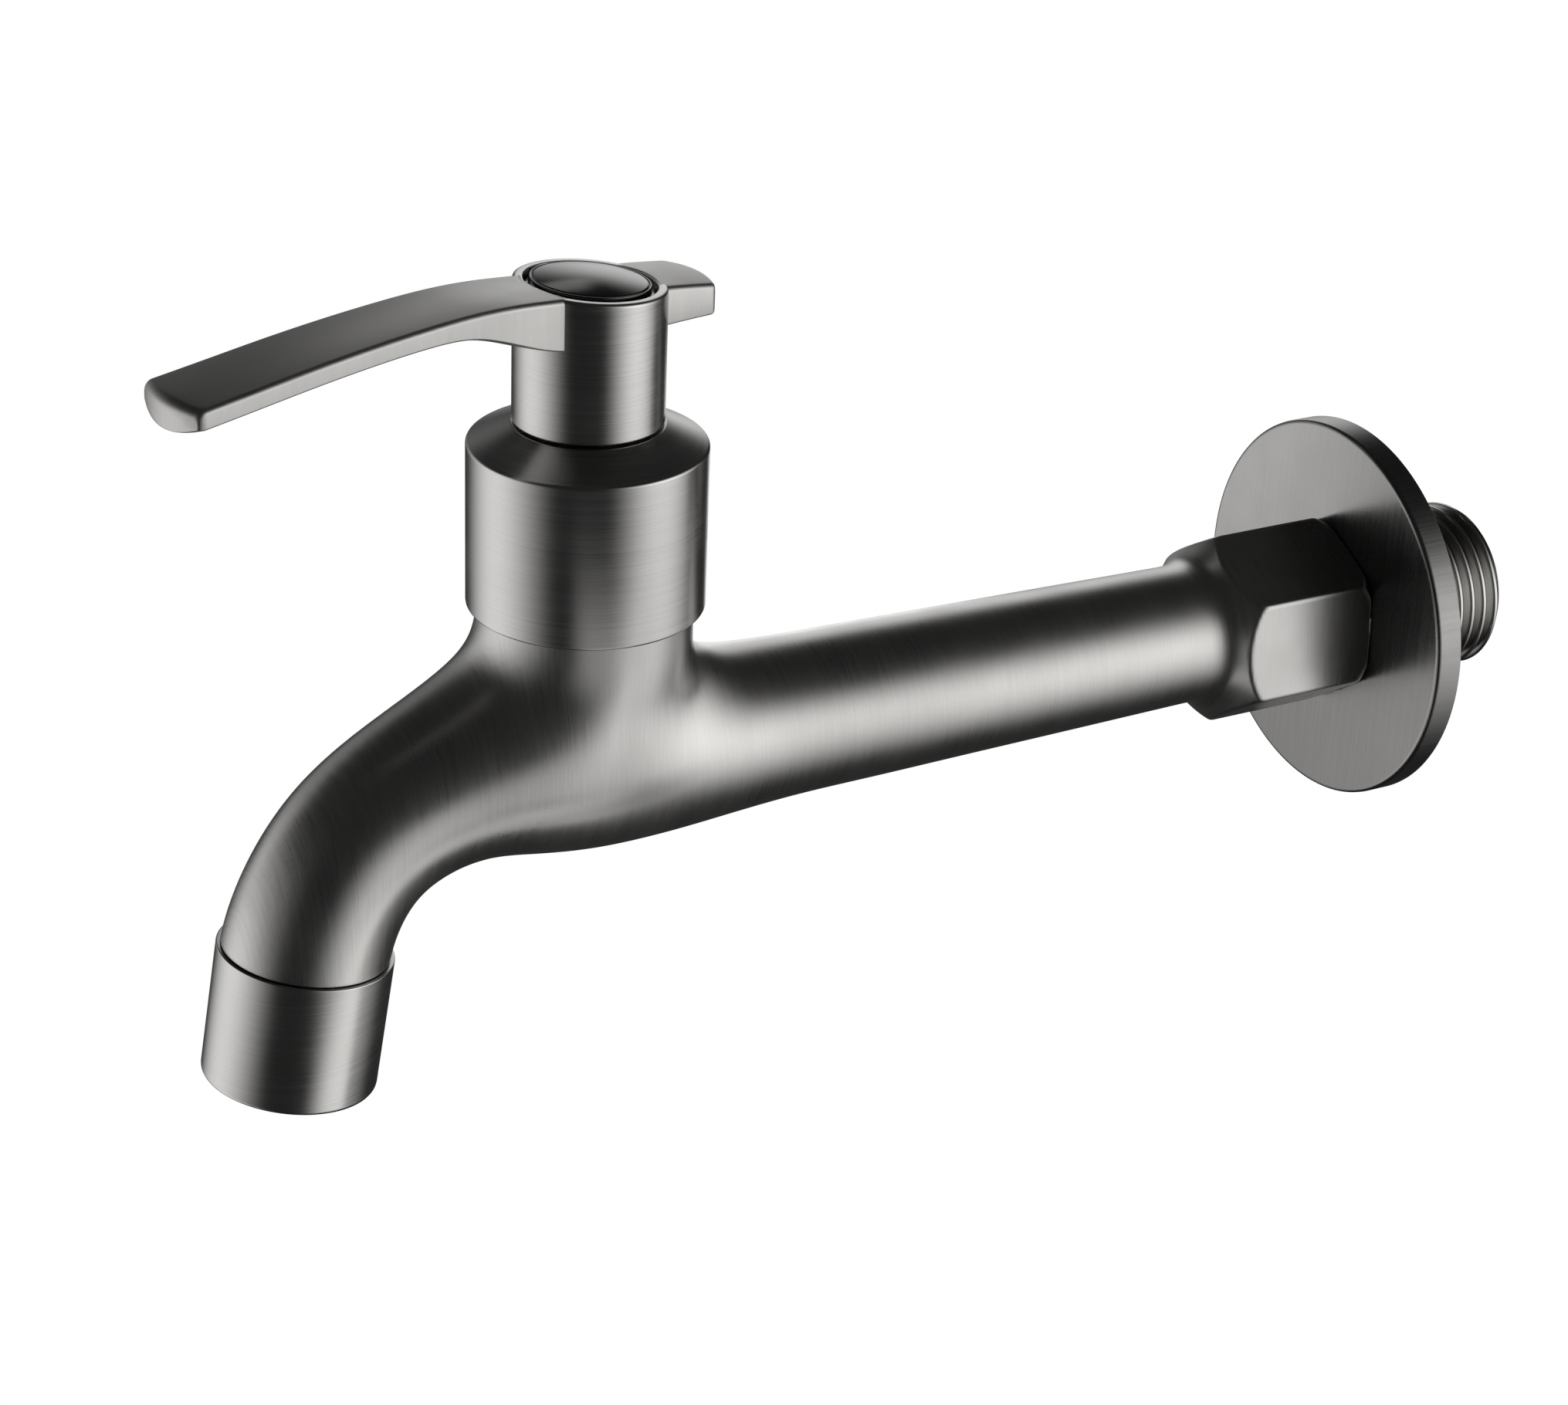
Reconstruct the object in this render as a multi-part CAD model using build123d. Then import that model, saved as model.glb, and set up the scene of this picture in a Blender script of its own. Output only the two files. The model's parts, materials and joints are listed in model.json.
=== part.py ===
from build123d import *
import math
import os

# Wall-mounted tap with a quarter-turn ceramic cartridge.
# Millimetres. Origin on the wall thread's axis at the flange's back face, which is the wall.
# +Y goes into the wall, the tap reaches out along -Y, +Z is up.

# Running and seating clearances, measured on the radius or the gap
SLIP = 0.05
FREE = 0.3

# Wall thread, G 1/2
THREAD_R = 10.478
THREAD_PITCH = 1.814
THREAD_DEPTH = 1.16
THREAD_LENGTH = 17.6
THREAD_CREST = 0.42
THREAD_FLANK = 0.5
THREAD_LEAD_IN = 1.1
THREAD_RELIEF = 0.7
INLET_R = 6.5
INLET_DEPTH = 30.0

# Wall flange
FLANGE_R = 24.0
FLANGE_THICK = 3.5
FLANGE_FACE_WALL = 1.5
FLANGE_RIM_WALL = 1.6
FLANGE_BOSS_WALL = 2.0
FLANGE_EDGE = 0.35
FLANGE_HOLE_GAP = 0.15

# Hexagon and collar at the wall end of the arm
HEX_FLATS = 21.3
HEX_TURN = 5.7
HEX_CORNER_R = 12.05
# The collar's rounded shoulder: distance from the wall and radius
COLLAR_TOE = (23.2, 7.3)
COLLAR_RISE = (22.45, 10.0)
COLLAR_ROUND = (20.4, 11.55)
COLLAR_CROWN_REACH = 17.2

# Arm's root inside the collar: distance from the wall, height and radius
ARM_HEIGHT = 0.4
ARM_ROOT = (20.7, ARM_HEIGHT, 8.5)
# Arm and belly: distance from the hub's axis along the arm, height and radius of each round section
ARM_END = (-24.7, ARM_HEIGHT, 9.5)
ARM_SWELL = (-16.7, ARM_HEIGHT, 10.05)
BELLY_BACK = (-8.7, 0.9, 11.0)
BELLY = (-0.7, 1.8, 11.9)
# Spout: share of the spout's reach from the hub's axis, height and radius of each round section
SPOUT_REACH = 34.05
BELLY_FRONT = (0.214, 2.3, 11.6)
BEND_START = (0.42, 1.7, 10.55)
BEND_TOP = (0.6256, -0.6, 9.55)
BEND_MIDDLE = (0.8076, -4.7, 9.2)
BEND_LOW = (0.9339, -10.6, 9.3)
ARM_BORE_R = 5.0
SPOUT_BORE_R = 4.9
SPOUT_BORE_START = (0.11, 11.5)
SPOUT_BORE_DROP = (0.35, 6.2)

# Aerator: height of the housing's top, and its lean away from the wall
AERATOR_TOP = -16.75
AERATOR_LEAN = 8.65
AERATOR_TOP_R = 10.05
AERATOR_END_R = 10.0
AERATOR_LENGTH = 15.9
AERATOR_WALL = 1.2
AERATOR_LIP = 0.9
AERATOR_LIP_THICK = 1.1
AERATOR_EDGE = 0.5
SPOUT_STEP = 0.5
SPOUT_TIP_LENGTH = 6.4
SPOUT_TIP_WALL = 2.0
WASHER_THICK = 1.5
SCREEN_THICK = 0.3
JET_PLATE_THICK = 1.2
INSERT_WALL = 1.0
INSERT_LEDGE_WIDTH = 0.5
INSERT_LEDGE_THICK = 0.4
GRID_THICK = 2.4
GRID_RIM = 0.6
GRID_CELL = 1.9
GRID_CELL_WALL = 0.35
SCREEN_HOLE_R = 0.42
SCREEN_HOLE_STEP = 1.15
SCREEN_HOLE_RINGS = 6
JET_HOLE_R = 0.5
JET_HOLE_STEP = 1.9
JET_HOLE_RINGS = 3

# Valve neck
HUB_REACH = 106.7
NECK_TOP = 20.0
NECK_R = 12.05
NECK_FLARE_TOP = 16.4
NECK_WAIST = (13.0, 12.1, 12.9, -0.9)
NECK_FLARE = (10.9, 12.0, 14.3, -1.5)
NECK_SKIRT = (7.8, 11.9, 17.4, -2.3)
NECK_BASE = (4.8, 11.7, 20.8, -2.3)
NECK_FOOT = (1.0, 11.2, 23.4, -1.6)
CHAMBER_R = 9.2
SEAT_Z = 8.0
SEAT_HOLE_R = 3.6
SEAT_HOLE_DEPTH = 3.4

# Ceramic cartridge, heights from the frame's zero
SEAL_THICK = 2.2
SEAL_R = 6.0
SEAL_HOLE_R = 4.1
DISC_R = 6.25
FIXED_DISC_THICK = 2.2
MOVING_DISC_THICK = 2.0
FOOT_THICK = 2.0
FRICTION_WASHER_THICK = 0.6
BARREL_WALL = 1.25
BARREL_END_GAP = 0.9
KEY_WIDTH = 2.6
KEY_REACH = 0.9
PORT_ANGLE = 70.0
PORT_INNER_R = 1.9
PORT_OUTER_R = 5.1
CUTOUT_ANGLE = 84.0
WINDOW_ANGLE = 60.0
WINDOW_HEIGHT = 2.4
RIB_ANGLE = 20.0
TURN_RANGE = 90.0
STOP_PLAY = 1.0
HOUSING_THREAD_LENGTH = 4.2
HOUSING_HEX_FLATS = 20.0
HOUSING_HEX_THICK = 4.6
HOUSING_UNDERCUT = 1.2
HOUSING_NECK_R = 7.2
HOUSING_TOP = 39.4

# Spindle
SPINDLE_R = 4.2
SPINDLE_TOP = 50.0
SPLINE_TEETH = 20
SPLINE_TIP_R = 3.9
SPLINE_ROOT_R = 3.45
SPLINE_START = 43.2
SPLINE_CLEAR = 0.05
TONGUE_WIDTH = 2.4
TONGUE_DEPTH = 0.9
SPINDLE_RING_HEIGHTS = (25.0, 30.0)
RING_SECTION_R = 0.55
RING_GROOVE_WIDTH = 1.5
CLIP_THICK = 0.8
CLIP_REACH = 1.5
CLIP_GROOVE_DEPTH = 0.7
CLIP_OPENING = 4.6

# Bonnet sleeve
BONNET_R = 13.4
BONNET_WALL = 1.75
BONNET_SHOULDER = 39.1
BONNET_TOP = 41.55
BONNET_TOP_R = 8.5
BONNET_ROOF_THICK = 5.0
BONNET_FOOT_EDGE = 0.3
BONNET_RIM_EDGE = 0.35

# Handle
HUB_R = 8.4
HUB_TOP = 57.55
TOP_SLOPE = 5.0
LEVER_YAW = 11.0
SKIRT_WALL = 1.5
SOCKET_START = 43.6
HUB_WEB_THICK = 1.8
SCREW_POCKET_R = 5.25
CAP_SEAT_DROP = 2.6
HUB_EDGE = 0.3
LEVER_CROWN = 0.35
LEVER_BELLY = 0.95
LEVER_ROOT_BELLY = 0.4
LEVER_ROOT_WIDTH = 9.6
LEVER_TIP_WIDTH = 10.8
LEVER_REACH = 52.6
LEVER_END_BULGE = 1.55
STUB_REACH = 14.7
STUB_END_BULGE = 1.9
# Lever sections: distance from the hub's axis, height of the top edges, height of the side
LEVER_STUB_END = (-15.5, 55.7, 3.2)
LEVER_STUB = (-7.5, 56.85, 4.3)
LEVER_CENTRE = (0.0, 57.55, 5.3)
LEVER_ROOT = (7.0, 58.2, 5.8)
LEVER_ARCH_BACK = (12.5, 58.7, 4.5)
LEVER_ARCH = (18.0, 58.85, 2.8)
LEVER_ARCH_FRONT = (24.0, 58.6, 2.25)
LEVER_MIDDLE = (31.0, 58.05, 2.2)
LEVER_FRONT = (38.0, 57.3, 2.2)
LEVER_NOSE = (45.0, 56.4, 2.2)
LEVER_TIP = (53.4, 55.35, 2.2)

# Handle screw, washer, cap and the cap's ring
SCREW_R = 1.95
SCREW_LENGTH = 11.0
SCREW_HEAD_R = 3.5
SCREW_HEAD_THICK = 2.0
SCREW_SLOT_WIDTH = 1.0
SCREW_SLOT_LENGTH = 4.4
SCREW_SLOT_DEPTH = 1.1
SCREW_WASHER_THICK = 0.7
SCREW_WASHER_R = 4.1
CAP_R = 7.05
CAP_SEAT_GAP = 0.2
CAP_BUTTON_R = 6.6
CAP_BUTTON_STAND = 0.2
CAP_DOME_RISE = 0.95
CAP_SHOULDER_SINK = 0.7
CAP_PLUG_WALL = 1.4
CAP_PLUG_LENGTH = 1.7
CAP_RING_SECTION_R = 0.4

# Places that follow from the sizes above
HEX_END = FLANGE_THICK
HUB_AXIS = Pos(0, -HUB_REACH, 0)
SEAL_TOP = SEAT_Z + SEAL_THICK
FIXED_DISC_TOP = SEAL_TOP + FIXED_DISC_THICK
MOVING_DISC_TOP = FIXED_DISC_TOP + MOVING_DISC_THICK
FOOT_TOP = MOVING_DISC_TOP + FOOT_THICK
HOUSING_SHOULDER = FOOT_TOP + FRICTION_WASHER_THICK
HOUSING_BORE_R = SPINDLE_R + SLIP
BARREL_BORE_R = DISC_R + SLIP
BARREL_R = BARREL_BORE_R + BARREL_WALL
HOUSING_HEX_TOP = NECK_TOP + HOUSING_HEX_THICK
CLIP_BOTTOM = HOUSING_TOP + SLIP
HANDLE_BOTTOM = BONNET_TOP + FREE
WEB_TOP = SPINDLE_TOP + HUB_WEB_THICK
WASHER_TOP = WEB_TOP + SCREW_WASHER_THICK
HEAD_TOP = WASHER_TOP + SCREW_HEAD_THICK
CAP_SEAT_Z = HUB_TOP - CAP_SEAT_DROP
WING_ANGLE = 180.0 - TURN_RANGE - RIB_ANGLE - STOP_PLAY
AERATOR_REACH = HUB_REACH + SPOUT_REACH
AERATOR_PLACE = Pos(0, -AERATOR_REACH, AERATOR_TOP) * Rot(-AERATOR_LEAN, 0, 0)
AERATOR_BORE_R = AERATOR_TOP_R - AERATOR_WALL
SPOUT_TIP_R = AERATOR_BORE_R - SLIP
WASHER_FACE = SPOUT_TIP_LENGTH + SLIP
SCREEN_FACE = WASHER_FACE + WASHER_THICK
PLATE_FACE = SCREEN_FACE + SCREEN_THICK
INSERT_FACE = PLATE_FACE + JET_PLATE_THICK
INSERT_END = AERATOR_LENGTH - AERATOR_LIP_THICK
INSERT_R = AERATOR_BORE_R - SLIP
GRID_R = INSERT_R - INSERT_WALL - SLIP
GRID_END = INSERT_END - INSERT_LEDGE_THICK


def disc(radius, low, high):
    """A round slug on the Z axis between two heights."""
    return Pos(0, 0, low) * Cylinder(radius, high - low, align=(Align.CENTER, Align.CENTER, Align.MIN))


def ring(outer, inner, low, high):
    """A round sleeve on the Z axis between two heights."""
    return disc(outer, low, high) - disc(inner, low - 1, high + 1)


def ring_seal(section_centre_r, section_r, height):
    """An O-ring on the Z axis."""
    return Pos(0, 0, height) * Torus(section_centre_r, section_r)


def turned(points):
    """A solid turned about the Z axis from an outline of radius and height."""
    outline = Plane.XZ * make_face(Polyline(*points, close=True))
    return revolve(outline, Axis.Z)


def sector(outer, inner, angle, low, high, middle=0.0):
    """A wedge of a ring on the Z axis, centred on the angle given by middle."""
    half = math.radians(angle / 2)
    reach = 2 * outer
    wedge = make_face(Polyline(
        (0, 0),
        (reach * math.cos(half), -reach * math.sin(half)),
        (reach, 0),
        (reach * math.cos(half), reach * math.sin(half)),
        close=True,
    ))
    body = Pos(0, 0, low) * extrude(wedge, high - low)
    return Rot(0, 0, middle) * (body & ring(outer, inner, low, high))


def bar(size_x, size_y, low, high):
    """A square-cornered block centred on the Z axis between two heights."""
    return Pos(0, 0, low) * Box(size_x, size_y, high - low, align=(Align.CENTER, Align.CENTER, Align.MIN))


def spline_bar(tip_r, root_r, low, high):
    """A splined bar with straight-sided teeth."""
    points = []
    step = 2 * math.pi / SPLINE_TEETH
    for tooth in range(SPLINE_TEETH):
        for share, radius in ((-0.32, root_r), (-0.14, tip_r), (0.14, tip_r), (0.32, root_r)):
            angle = (tooth + share) * step
            points.append((radius * math.cos(angle), radius * math.sin(angle)))
    return Pos(0, 0, low) * extrude(make_face(Polyline(*points, close=True)), high - low)


def round_section(station, direction):
    """A round section of the arm or spout, square to its direction."""
    reach, height, radius = station
    plane = Plane(origin=(0, -reach, height), x_dir=(1, 0, 0), z_dir=direction)
    return plane * Circle(radius)


def arm_stations():
    """Reach from the wall, height and radius along the arm and the belly's back half."""
    stations = (ARM_END, ARM_SWELL, BELLY_BACK, BELLY)
    return [ARM_ROOT] + [(HUB_REACH + along, height, radius) for along, height, radius in stations]


def spout_stations():
    """Reach from the wall, height and radius from the belly's front half to the spout's end."""
    spout_end = (1.0, AERATOR_TOP, AERATOR_TOP_R - SPOUT_STEP)
    stations = (BELLY_FRONT, BEND_START, BEND_TOP, BEND_MIDDLE, BEND_LOW, spout_end)
    return [(HUB_REACH + share * SPOUT_REACH, height, radius) for share, height, radius in stations]


def arm_and_spout():
    """The round casting from the collar, through the belly, to the end of the spout."""
    arm_root, *stations = arm_stations() + spout_stations()
    arm = loft([round_section(arm_root, (0, -1, 0)), round_section(stations[0], (0, -1, 0))])
    lean = math.radians(AERATOR_LEAN)
    sections = [round_section(stations[0], (0, -1, 0))]
    for before, station, after in zip(stations, stations[1:], stations[2:]):
        direction = (0, before[0] - after[0], after[1] - before[1])
        sections.append(round_section(station, direction))
    sections.append(round_section(stations[-1], (0, -math.sin(lean), -math.cos(lean))))
    return arm + loft(sections)


def neck():
    """The valve neck, flaring down into the belly."""
    sections = [
        Pos(0, 0, NECK_TOP) * Ellipse(NECK_R, NECK_R),
        Pos(0, 0, NECK_FLARE_TOP) * Ellipse(NECK_R, NECK_R),
    ]
    for height, half_width, half_length, shift in (NECK_WAIST, NECK_FLARE, NECK_SKIRT, NECK_BASE, NECK_FOOT):
        sections.append(Pos(0, shift, height) * Ellipse(half_width, half_length))
    return HUB_AXIS * loft(sections)


def collar_and_hexagon():
    """The turned collar at the wall end of the arm, with the spanner hexagon cut into it."""
    shoulder = (COLLAR_TOE, COLLAR_RISE, COLLAR_ROUND, (COLLAR_CROWN_REACH, HEX_CORNER_R))
    toe, rise, crest, crown = [(radius, -reach) for reach, radius in shoulder]
    outline = make_face([
        Spline(toe, rise, crest, crown, tangents=[(1, 0.1), (0, 1)]),
        Polyline(crown, (HEX_CORNER_R, -HEX_END), (0, -HEX_END), (0, toe[1]), toe),
    ])
    collar = Rot(-90, 0, 0) * revolve(Plane.XZ * outline, Axis.Z)
    hexagon = extrude(RegularPolygon(HEX_FLATS / 2 / math.cos(math.pi / 6), 6), COLLAR_TOE[0] - HEX_END)
    hexagon = Pos(0, -COLLAR_TOE[0], 0) * Rot(-90, 0, 0) * Rot(0, 0, 90 - HEX_TURN) * hexagon
    return collar & hexagon


def wall_thread():
    """The relief under the flange and the male pipe thread, drawn as rings with true pitch and depth."""
    root_r = THREAD_R - THREAD_DEPTH
    relief_r = THREAD_R - THREAD_RELIEF
    points = [(0, -HEX_END), (relief_r, -HEX_END), (relief_r, 0), (THREAD_R, 0)]
    ridges = int((THREAD_LENGTH - THREAD_LEAD_IN - THREAD_CREST) // THREAD_PITCH)
    for ridge in range(ridges):
        crest = ridge * THREAD_PITCH
        points.append((THREAD_R, crest + THREAD_CREST))
        points.append((root_r, crest + THREAD_CREST + THREAD_FLANK))
        points.append((root_r, crest + THREAD_PITCH - THREAD_FLANK))
        points.append((THREAD_R, crest + THREAD_PITCH))
    last = ridges * THREAD_PITCH + THREAD_CREST
    points += [(THREAD_R, last), (root_r, last + THREAD_FLANK), (root_r, THREAD_LENGTH), (0, THREAD_LENGTH)]
    return Rot(-90, 0, 0) * turned(points)


def waterway():
    """What the water flows through: inlet, arm, seat hole, valve chamber and spout."""
    inlet = Pos(0, THREAD_LENGTH + 1, 0) * Rot(90, 0, 0) * disc(INLET_R, 0, THREAD_LENGTH + 1 + INLET_DEPTH)
    arm_length = HUB_REACH + THREAD_LENGTH
    arm = Pos(0, THREAD_LENGTH, ARM_HEIGHT) * Rot(90, 0, 0) * disc(ARM_BORE_R, 0, arm_length)
    seat_hole = HUB_AXIS * disc(SEAT_HOLE_R, -SEAT_HOLE_DEPTH, SEAT_Z + 1)
    chamber = HUB_AXIS * disc(CHAMBER_R, SEAT_Z, NECK_TOP + 1)
    lean = math.radians(AERATOR_LEAN)
    tip = SPOUT_TIP_LENGTH + 1
    points = [
        (0, -HUB_REACH - share * SPOUT_REACH, height)
        for share, height in (SPOUT_BORE_START, SPOUT_BORE_DROP, BEND_TOP[:2], BEND_MIDDLE[:2], BEND_LOW[:2])
    ]
    mouth = (0, -AERATOR_REACH - tip * math.sin(lean), AERATOR_TOP - tip * math.cos(lean))
    path = Spline(*points, mouth)
    spout = sweep(Plane(origin=path @ 0, z_dir=path % 0) * Circle(SPOUT_BORE_R), path)
    return inlet + arm + seat_hole + chamber + spout


def body():
    """The one-piece casting."""
    tip = AERATOR_PLACE * disc(SPOUT_TIP_R, -SPOUT_TIP_LENGTH, 1)
    mouth = AERATOR_PLACE * disc(SPOUT_TIP_R - SPOUT_TIP_WALL, -SPOUT_TIP_LENGTH - 1, -1)
    outside = arm_and_spout() + neck() + collar_and_hexagon() + wall_thread() + tip
    return outside - waterway() - mouth


def wall_flange():
    """The cover plate: a face, a rim and a boss around the hole, hollow behind."""
    hole_r = THREAD_R + FLANGE_HOLE_GAP
    plate = turned([
        (hole_r, -FLANGE_THICK), (FLANGE_R - FLANGE_EDGE, -FLANGE_THICK),
        (FLANGE_R, -FLANGE_THICK + FLANGE_EDGE), (FLANGE_R, 0), (hole_r, 0),
    ])
    hollow = ring(FLANGE_R - FLANGE_RIM_WALL, hole_r + FLANGE_BOSS_WALL, FLANGE_FACE_WALL - FLANGE_THICK, 1)
    return Rot(-90, 0, 0) * (plate - hollow)


def outer_circles(sleeve):
    """The bonnet's round edges at its full radius, from the lowest up."""
    circles = sleeve.edges().filter_by(GeomType.CIRCLE)
    return circles.filter_by(lambda edge: abs(edge.radius - BONNET_R) < SLIP).sort_by(Axis.Z)


def bonnet_sleeve():
    """The cover over the cartridge, with its sloping shoulder."""
    inner_r = BONNET_R - BONNET_WALL
    bore_r = HOUSING_NECK_R + SLIP
    roof = BONNET_TOP - BONNET_ROOF_THICK
    sleeve = turned([
        (inner_r, NECK_TOP), (BONNET_R, NECK_TOP), (BONNET_R, BONNET_SHOULDER),
        (BONNET_TOP_R, BONNET_TOP), (bore_r, BONNET_TOP), (bore_r, roof), (inner_r, roof),
    ])
    foot = outer_circles(sleeve)[0]
    sleeve = fillet(foot, BONNET_FOOT_EDGE)
    rim = outer_circles(sleeve)[-1]
    return HUB_AXIS * fillet(rim, BONNET_RIM_EDGE)


def cartridge_housing():
    """The brass housing: barrel with windows, thread, hexagon and neck."""
    barrel_low = SEAT_Z + BARREL_END_GAP
    thread_top = NECK_TOP - HOUSING_UNDERCUT
    undercut_r = CHAMBER_R - 2 * RING_SECTION_R
    housing = disc(BARREL_R, barrel_low, thread_top)
    housing += disc(CHAMBER_R - SLIP, thread_top - HOUSING_THREAD_LENGTH, thread_top)
    housing += disc(undercut_r - SLIP, thread_top, NECK_TOP)
    hexagon = RegularPolygon(HOUSING_HEX_FLATS / 2 / math.cos(math.pi / 6), 6)
    housing += Pos(0, 0, NECK_TOP) * extrude(hexagon, HOUSING_HEX_THICK)
    housing += disc(HOUSING_NECK_R, HOUSING_HEX_TOP, HOUSING_TOP)
    housing -= disc(BARREL_BORE_R, barrel_low - 1, HOUSING_SHOULDER)
    housing -= disc(HOUSING_BORE_R, HOUSING_SHOULDER - 1, HOUSING_TOP + 1)
    rib_middle = -(RIB_ANGLE + WING_ANGLE + STOP_PLAY) / 2
    for side in (0, 180):
        window_top = FIXED_DISC_TOP + WINDOW_HEIGHT
        housing -= sector(BARREL_R + 1, BARREL_BORE_R - 1, WINDOW_ANGLE, FIXED_DISC_TOP, window_top, side)
        rib_foot = MOVING_DISC_TOP + SLIP
        rib_outer_r = BARREL_BORE_R + BARREL_WALL / 2
        rib_inner_r = HOUSING_BORE_R + SLIP
        housing += sector(rib_outer_r, rib_inner_r, RIB_ANGLE, rib_foot, FOOT_TOP, side + rib_middle)
    key_slot = bar(KEY_WIDTH + 2 * SLIP, 2 * BARREL_R + 1, barrel_low - 1, FIXED_DISC_TOP)
    return HUB_AXIS * (housing - key_slot)


def housing_o_ring():
    """The seal under the housing's hexagon."""
    centre_r = CHAMBER_R - RING_SECTION_R
    return HUB_AXIS * ring_seal(centre_r, RING_SECTION_R - SLIP / 2, NECK_TOP - HOUSING_UNDERCUT / 2)


def seat_seal():
    """The rubber ring that presses the fixed disc against the moving one."""
    return HUB_AXIS * ring(SEAL_R, SEAL_HOLE_R, SEAT_Z, SEAL_TOP)


def fixed_disc():
    """The lower ceramic disc, with two ports and two keys."""
    plate = disc(DISC_R, SEAL_TOP, FIXED_DISC_TOP)
    plate += bar(KEY_WIDTH, 2 * (DISC_R + KEY_REACH), SEAL_TOP, FIXED_DISC_TOP)
    for side in (0, 180):
        plate -= sector(PORT_OUTER_R, PORT_INNER_R, PORT_ANGLE, SEAL_TOP - 1, FIXED_DISC_TOP + 1, side)
    return HUB_AXIS * plate


def drive_bars(width, inner_r, outer_r, low, high):
    """The two radial bars that join the spindle's foot to the moving disc."""
    bars = bar(2 * outer_r, width, low, high)
    return bars - bar(2 * inner_r, width + 1, low - 1, high + 1)


def moving_disc():
    """The upper ceramic disc, bow-tie shaped, in the place where the handle rests."""
    plate = disc(DISC_R, FIXED_DISC_TOP, MOVING_DISC_TOP)
    for side in (90, 270):
        plate -= sector(DISC_R + 1, PORT_INNER_R, CUTOUT_ANGLE, FIXED_DISC_TOP - 1, MOVING_DISC_TOP + 1, side)
    slots = drive_bars(
        TONGUE_WIDTH + 2 * SLIP, PORT_INNER_R, PORT_OUTER_R + SLIP,
        MOVING_DISC_TOP - TONGUE_DEPTH - SLIP, MOVING_DISC_TOP + 1,
    )
    return HUB_AXIS * Rot(0, 0, LEVER_YAW) * (plate - slots)


def spindle():
    """The splined spindle, with its foot, tongues, ring grooves and tapped hole."""
    groove_r = SPINDLE_R - 2 * RING_SECTION_R
    stem = disc(SPINDLE_R, MOVING_DISC_TOP, SPLINE_START)
    for side in (0, 180):
        stem += sector(BARREL_BORE_R - 2 * SLIP, 0.1, WING_ANGLE, MOVING_DISC_TOP, FOOT_TOP, side)
    tongue_foot = MOVING_DISC_TOP - TONGUE_DEPTH
    tongue_top = MOVING_DISC_TOP + TONGUE_DEPTH
    stem += drive_bars(TONGUE_WIDTH, PORT_INNER_R + SLIP, PORT_OUTER_R, tongue_foot, tongue_top)
    for height in SPINDLE_RING_HEIGHTS:
        groove_low = height - RING_GROOVE_WIDTH / 2
        stem -= ring(SPINDLE_R + 1, groove_r, groove_low, groove_low + RING_GROOVE_WIDTH)
    clip_top = CLIP_BOTTOM + CLIP_THICK
    stem -= ring(SPINDLE_R + 1, SPINDLE_R - CLIP_GROOVE_DEPTH, CLIP_BOTTOM - SLIP, clip_top + SLIP)
    stem += spline_bar(SPLINE_TIP_R, SPLINE_ROOT_R, SPLINE_START, SPINDLE_TOP)
    stem -= disc(SCREW_R + SLIP, WASHER_TOP - SCREW_LENGTH - SCREW_R, SPINDLE_TOP + 1)
    return HUB_AXIS * Rot(0, 0, LEVER_YAW) * stem


def spindle_o_rings():
    """The two seals in the spindle's grooves."""
    centre_r = SPINDLE_R - RING_SECTION_R
    rings = [ring_seal(centre_r, RING_SECTION_R - SLIP / 2, height) for height in SPINDLE_RING_HEIGHTS]
    return HUB_AXIS * Compound(rings)


def spindle_clip():
    """The open ring that stops the spindle from dropping."""
    groove_r = SPINDLE_R - CLIP_GROOVE_DEPTH
    clip = ring(SPINDLE_R + CLIP_REACH, groove_r + SLIP, CLIP_BOTTOM, CLIP_BOTTOM + CLIP_THICK)
    cutter = bar(CLIP_OPENING, 2 * SPINDLE_R, CLIP_BOTTOM - 1, CLIP_BOTTOM + CLIP_THICK + 1)
    opening = Pos(0, SPINDLE_R, 0) * cutter
    return HUB_AXIS * Rot(0, 0, LEVER_YAW) * (clip - opening)


def friction_washer():
    """The thin washer between the spindle's foot and the housing."""
    return HUB_AXIS * ring(BARREL_BORE_R - 2 * SLIP, SPINDLE_R + SLIP, FOOT_TOP, HOUSING_SHOULDER - SLIP)


def lever_section(station):
    """One section of the lever: crowned top, two flat sides and a rounded underside."""
    distance, top, side_height = station
    root_share = 1 - max(0, min(1, (distance - LEVER_ROOT[0]) / (LEVER_TIP[0] - LEVER_ROOT[0])))
    half = (LEVER_TIP_WIDTH + (LEVER_ROOT_WIDTH - LEVER_TIP_WIDTH) * root_share) / 2
    rise = min(1, abs(distance) / LEVER_ARCH[0])
    crown = LEVER_CROWN * rise
    belly = LEVER_ROOT_BELLY + (LEVER_BELLY - LEVER_ROOT_BELLY) * rise
    low = top - side_height
    outline = make_face([
        ThreePointArc((-half, top), (0, top + crown + SLIP), (half, top)),
        Line((half, top), (half, low)),
        ThreePointArc((half, low), (0, low - belly), (-half, low)),
        Line((-half, low), (-half, top)),
    ])
    return Plane(origin=(0, -distance, 0), x_dir=(1, 0, 0), z_dir=(0, -1, 0)) * outline


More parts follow.
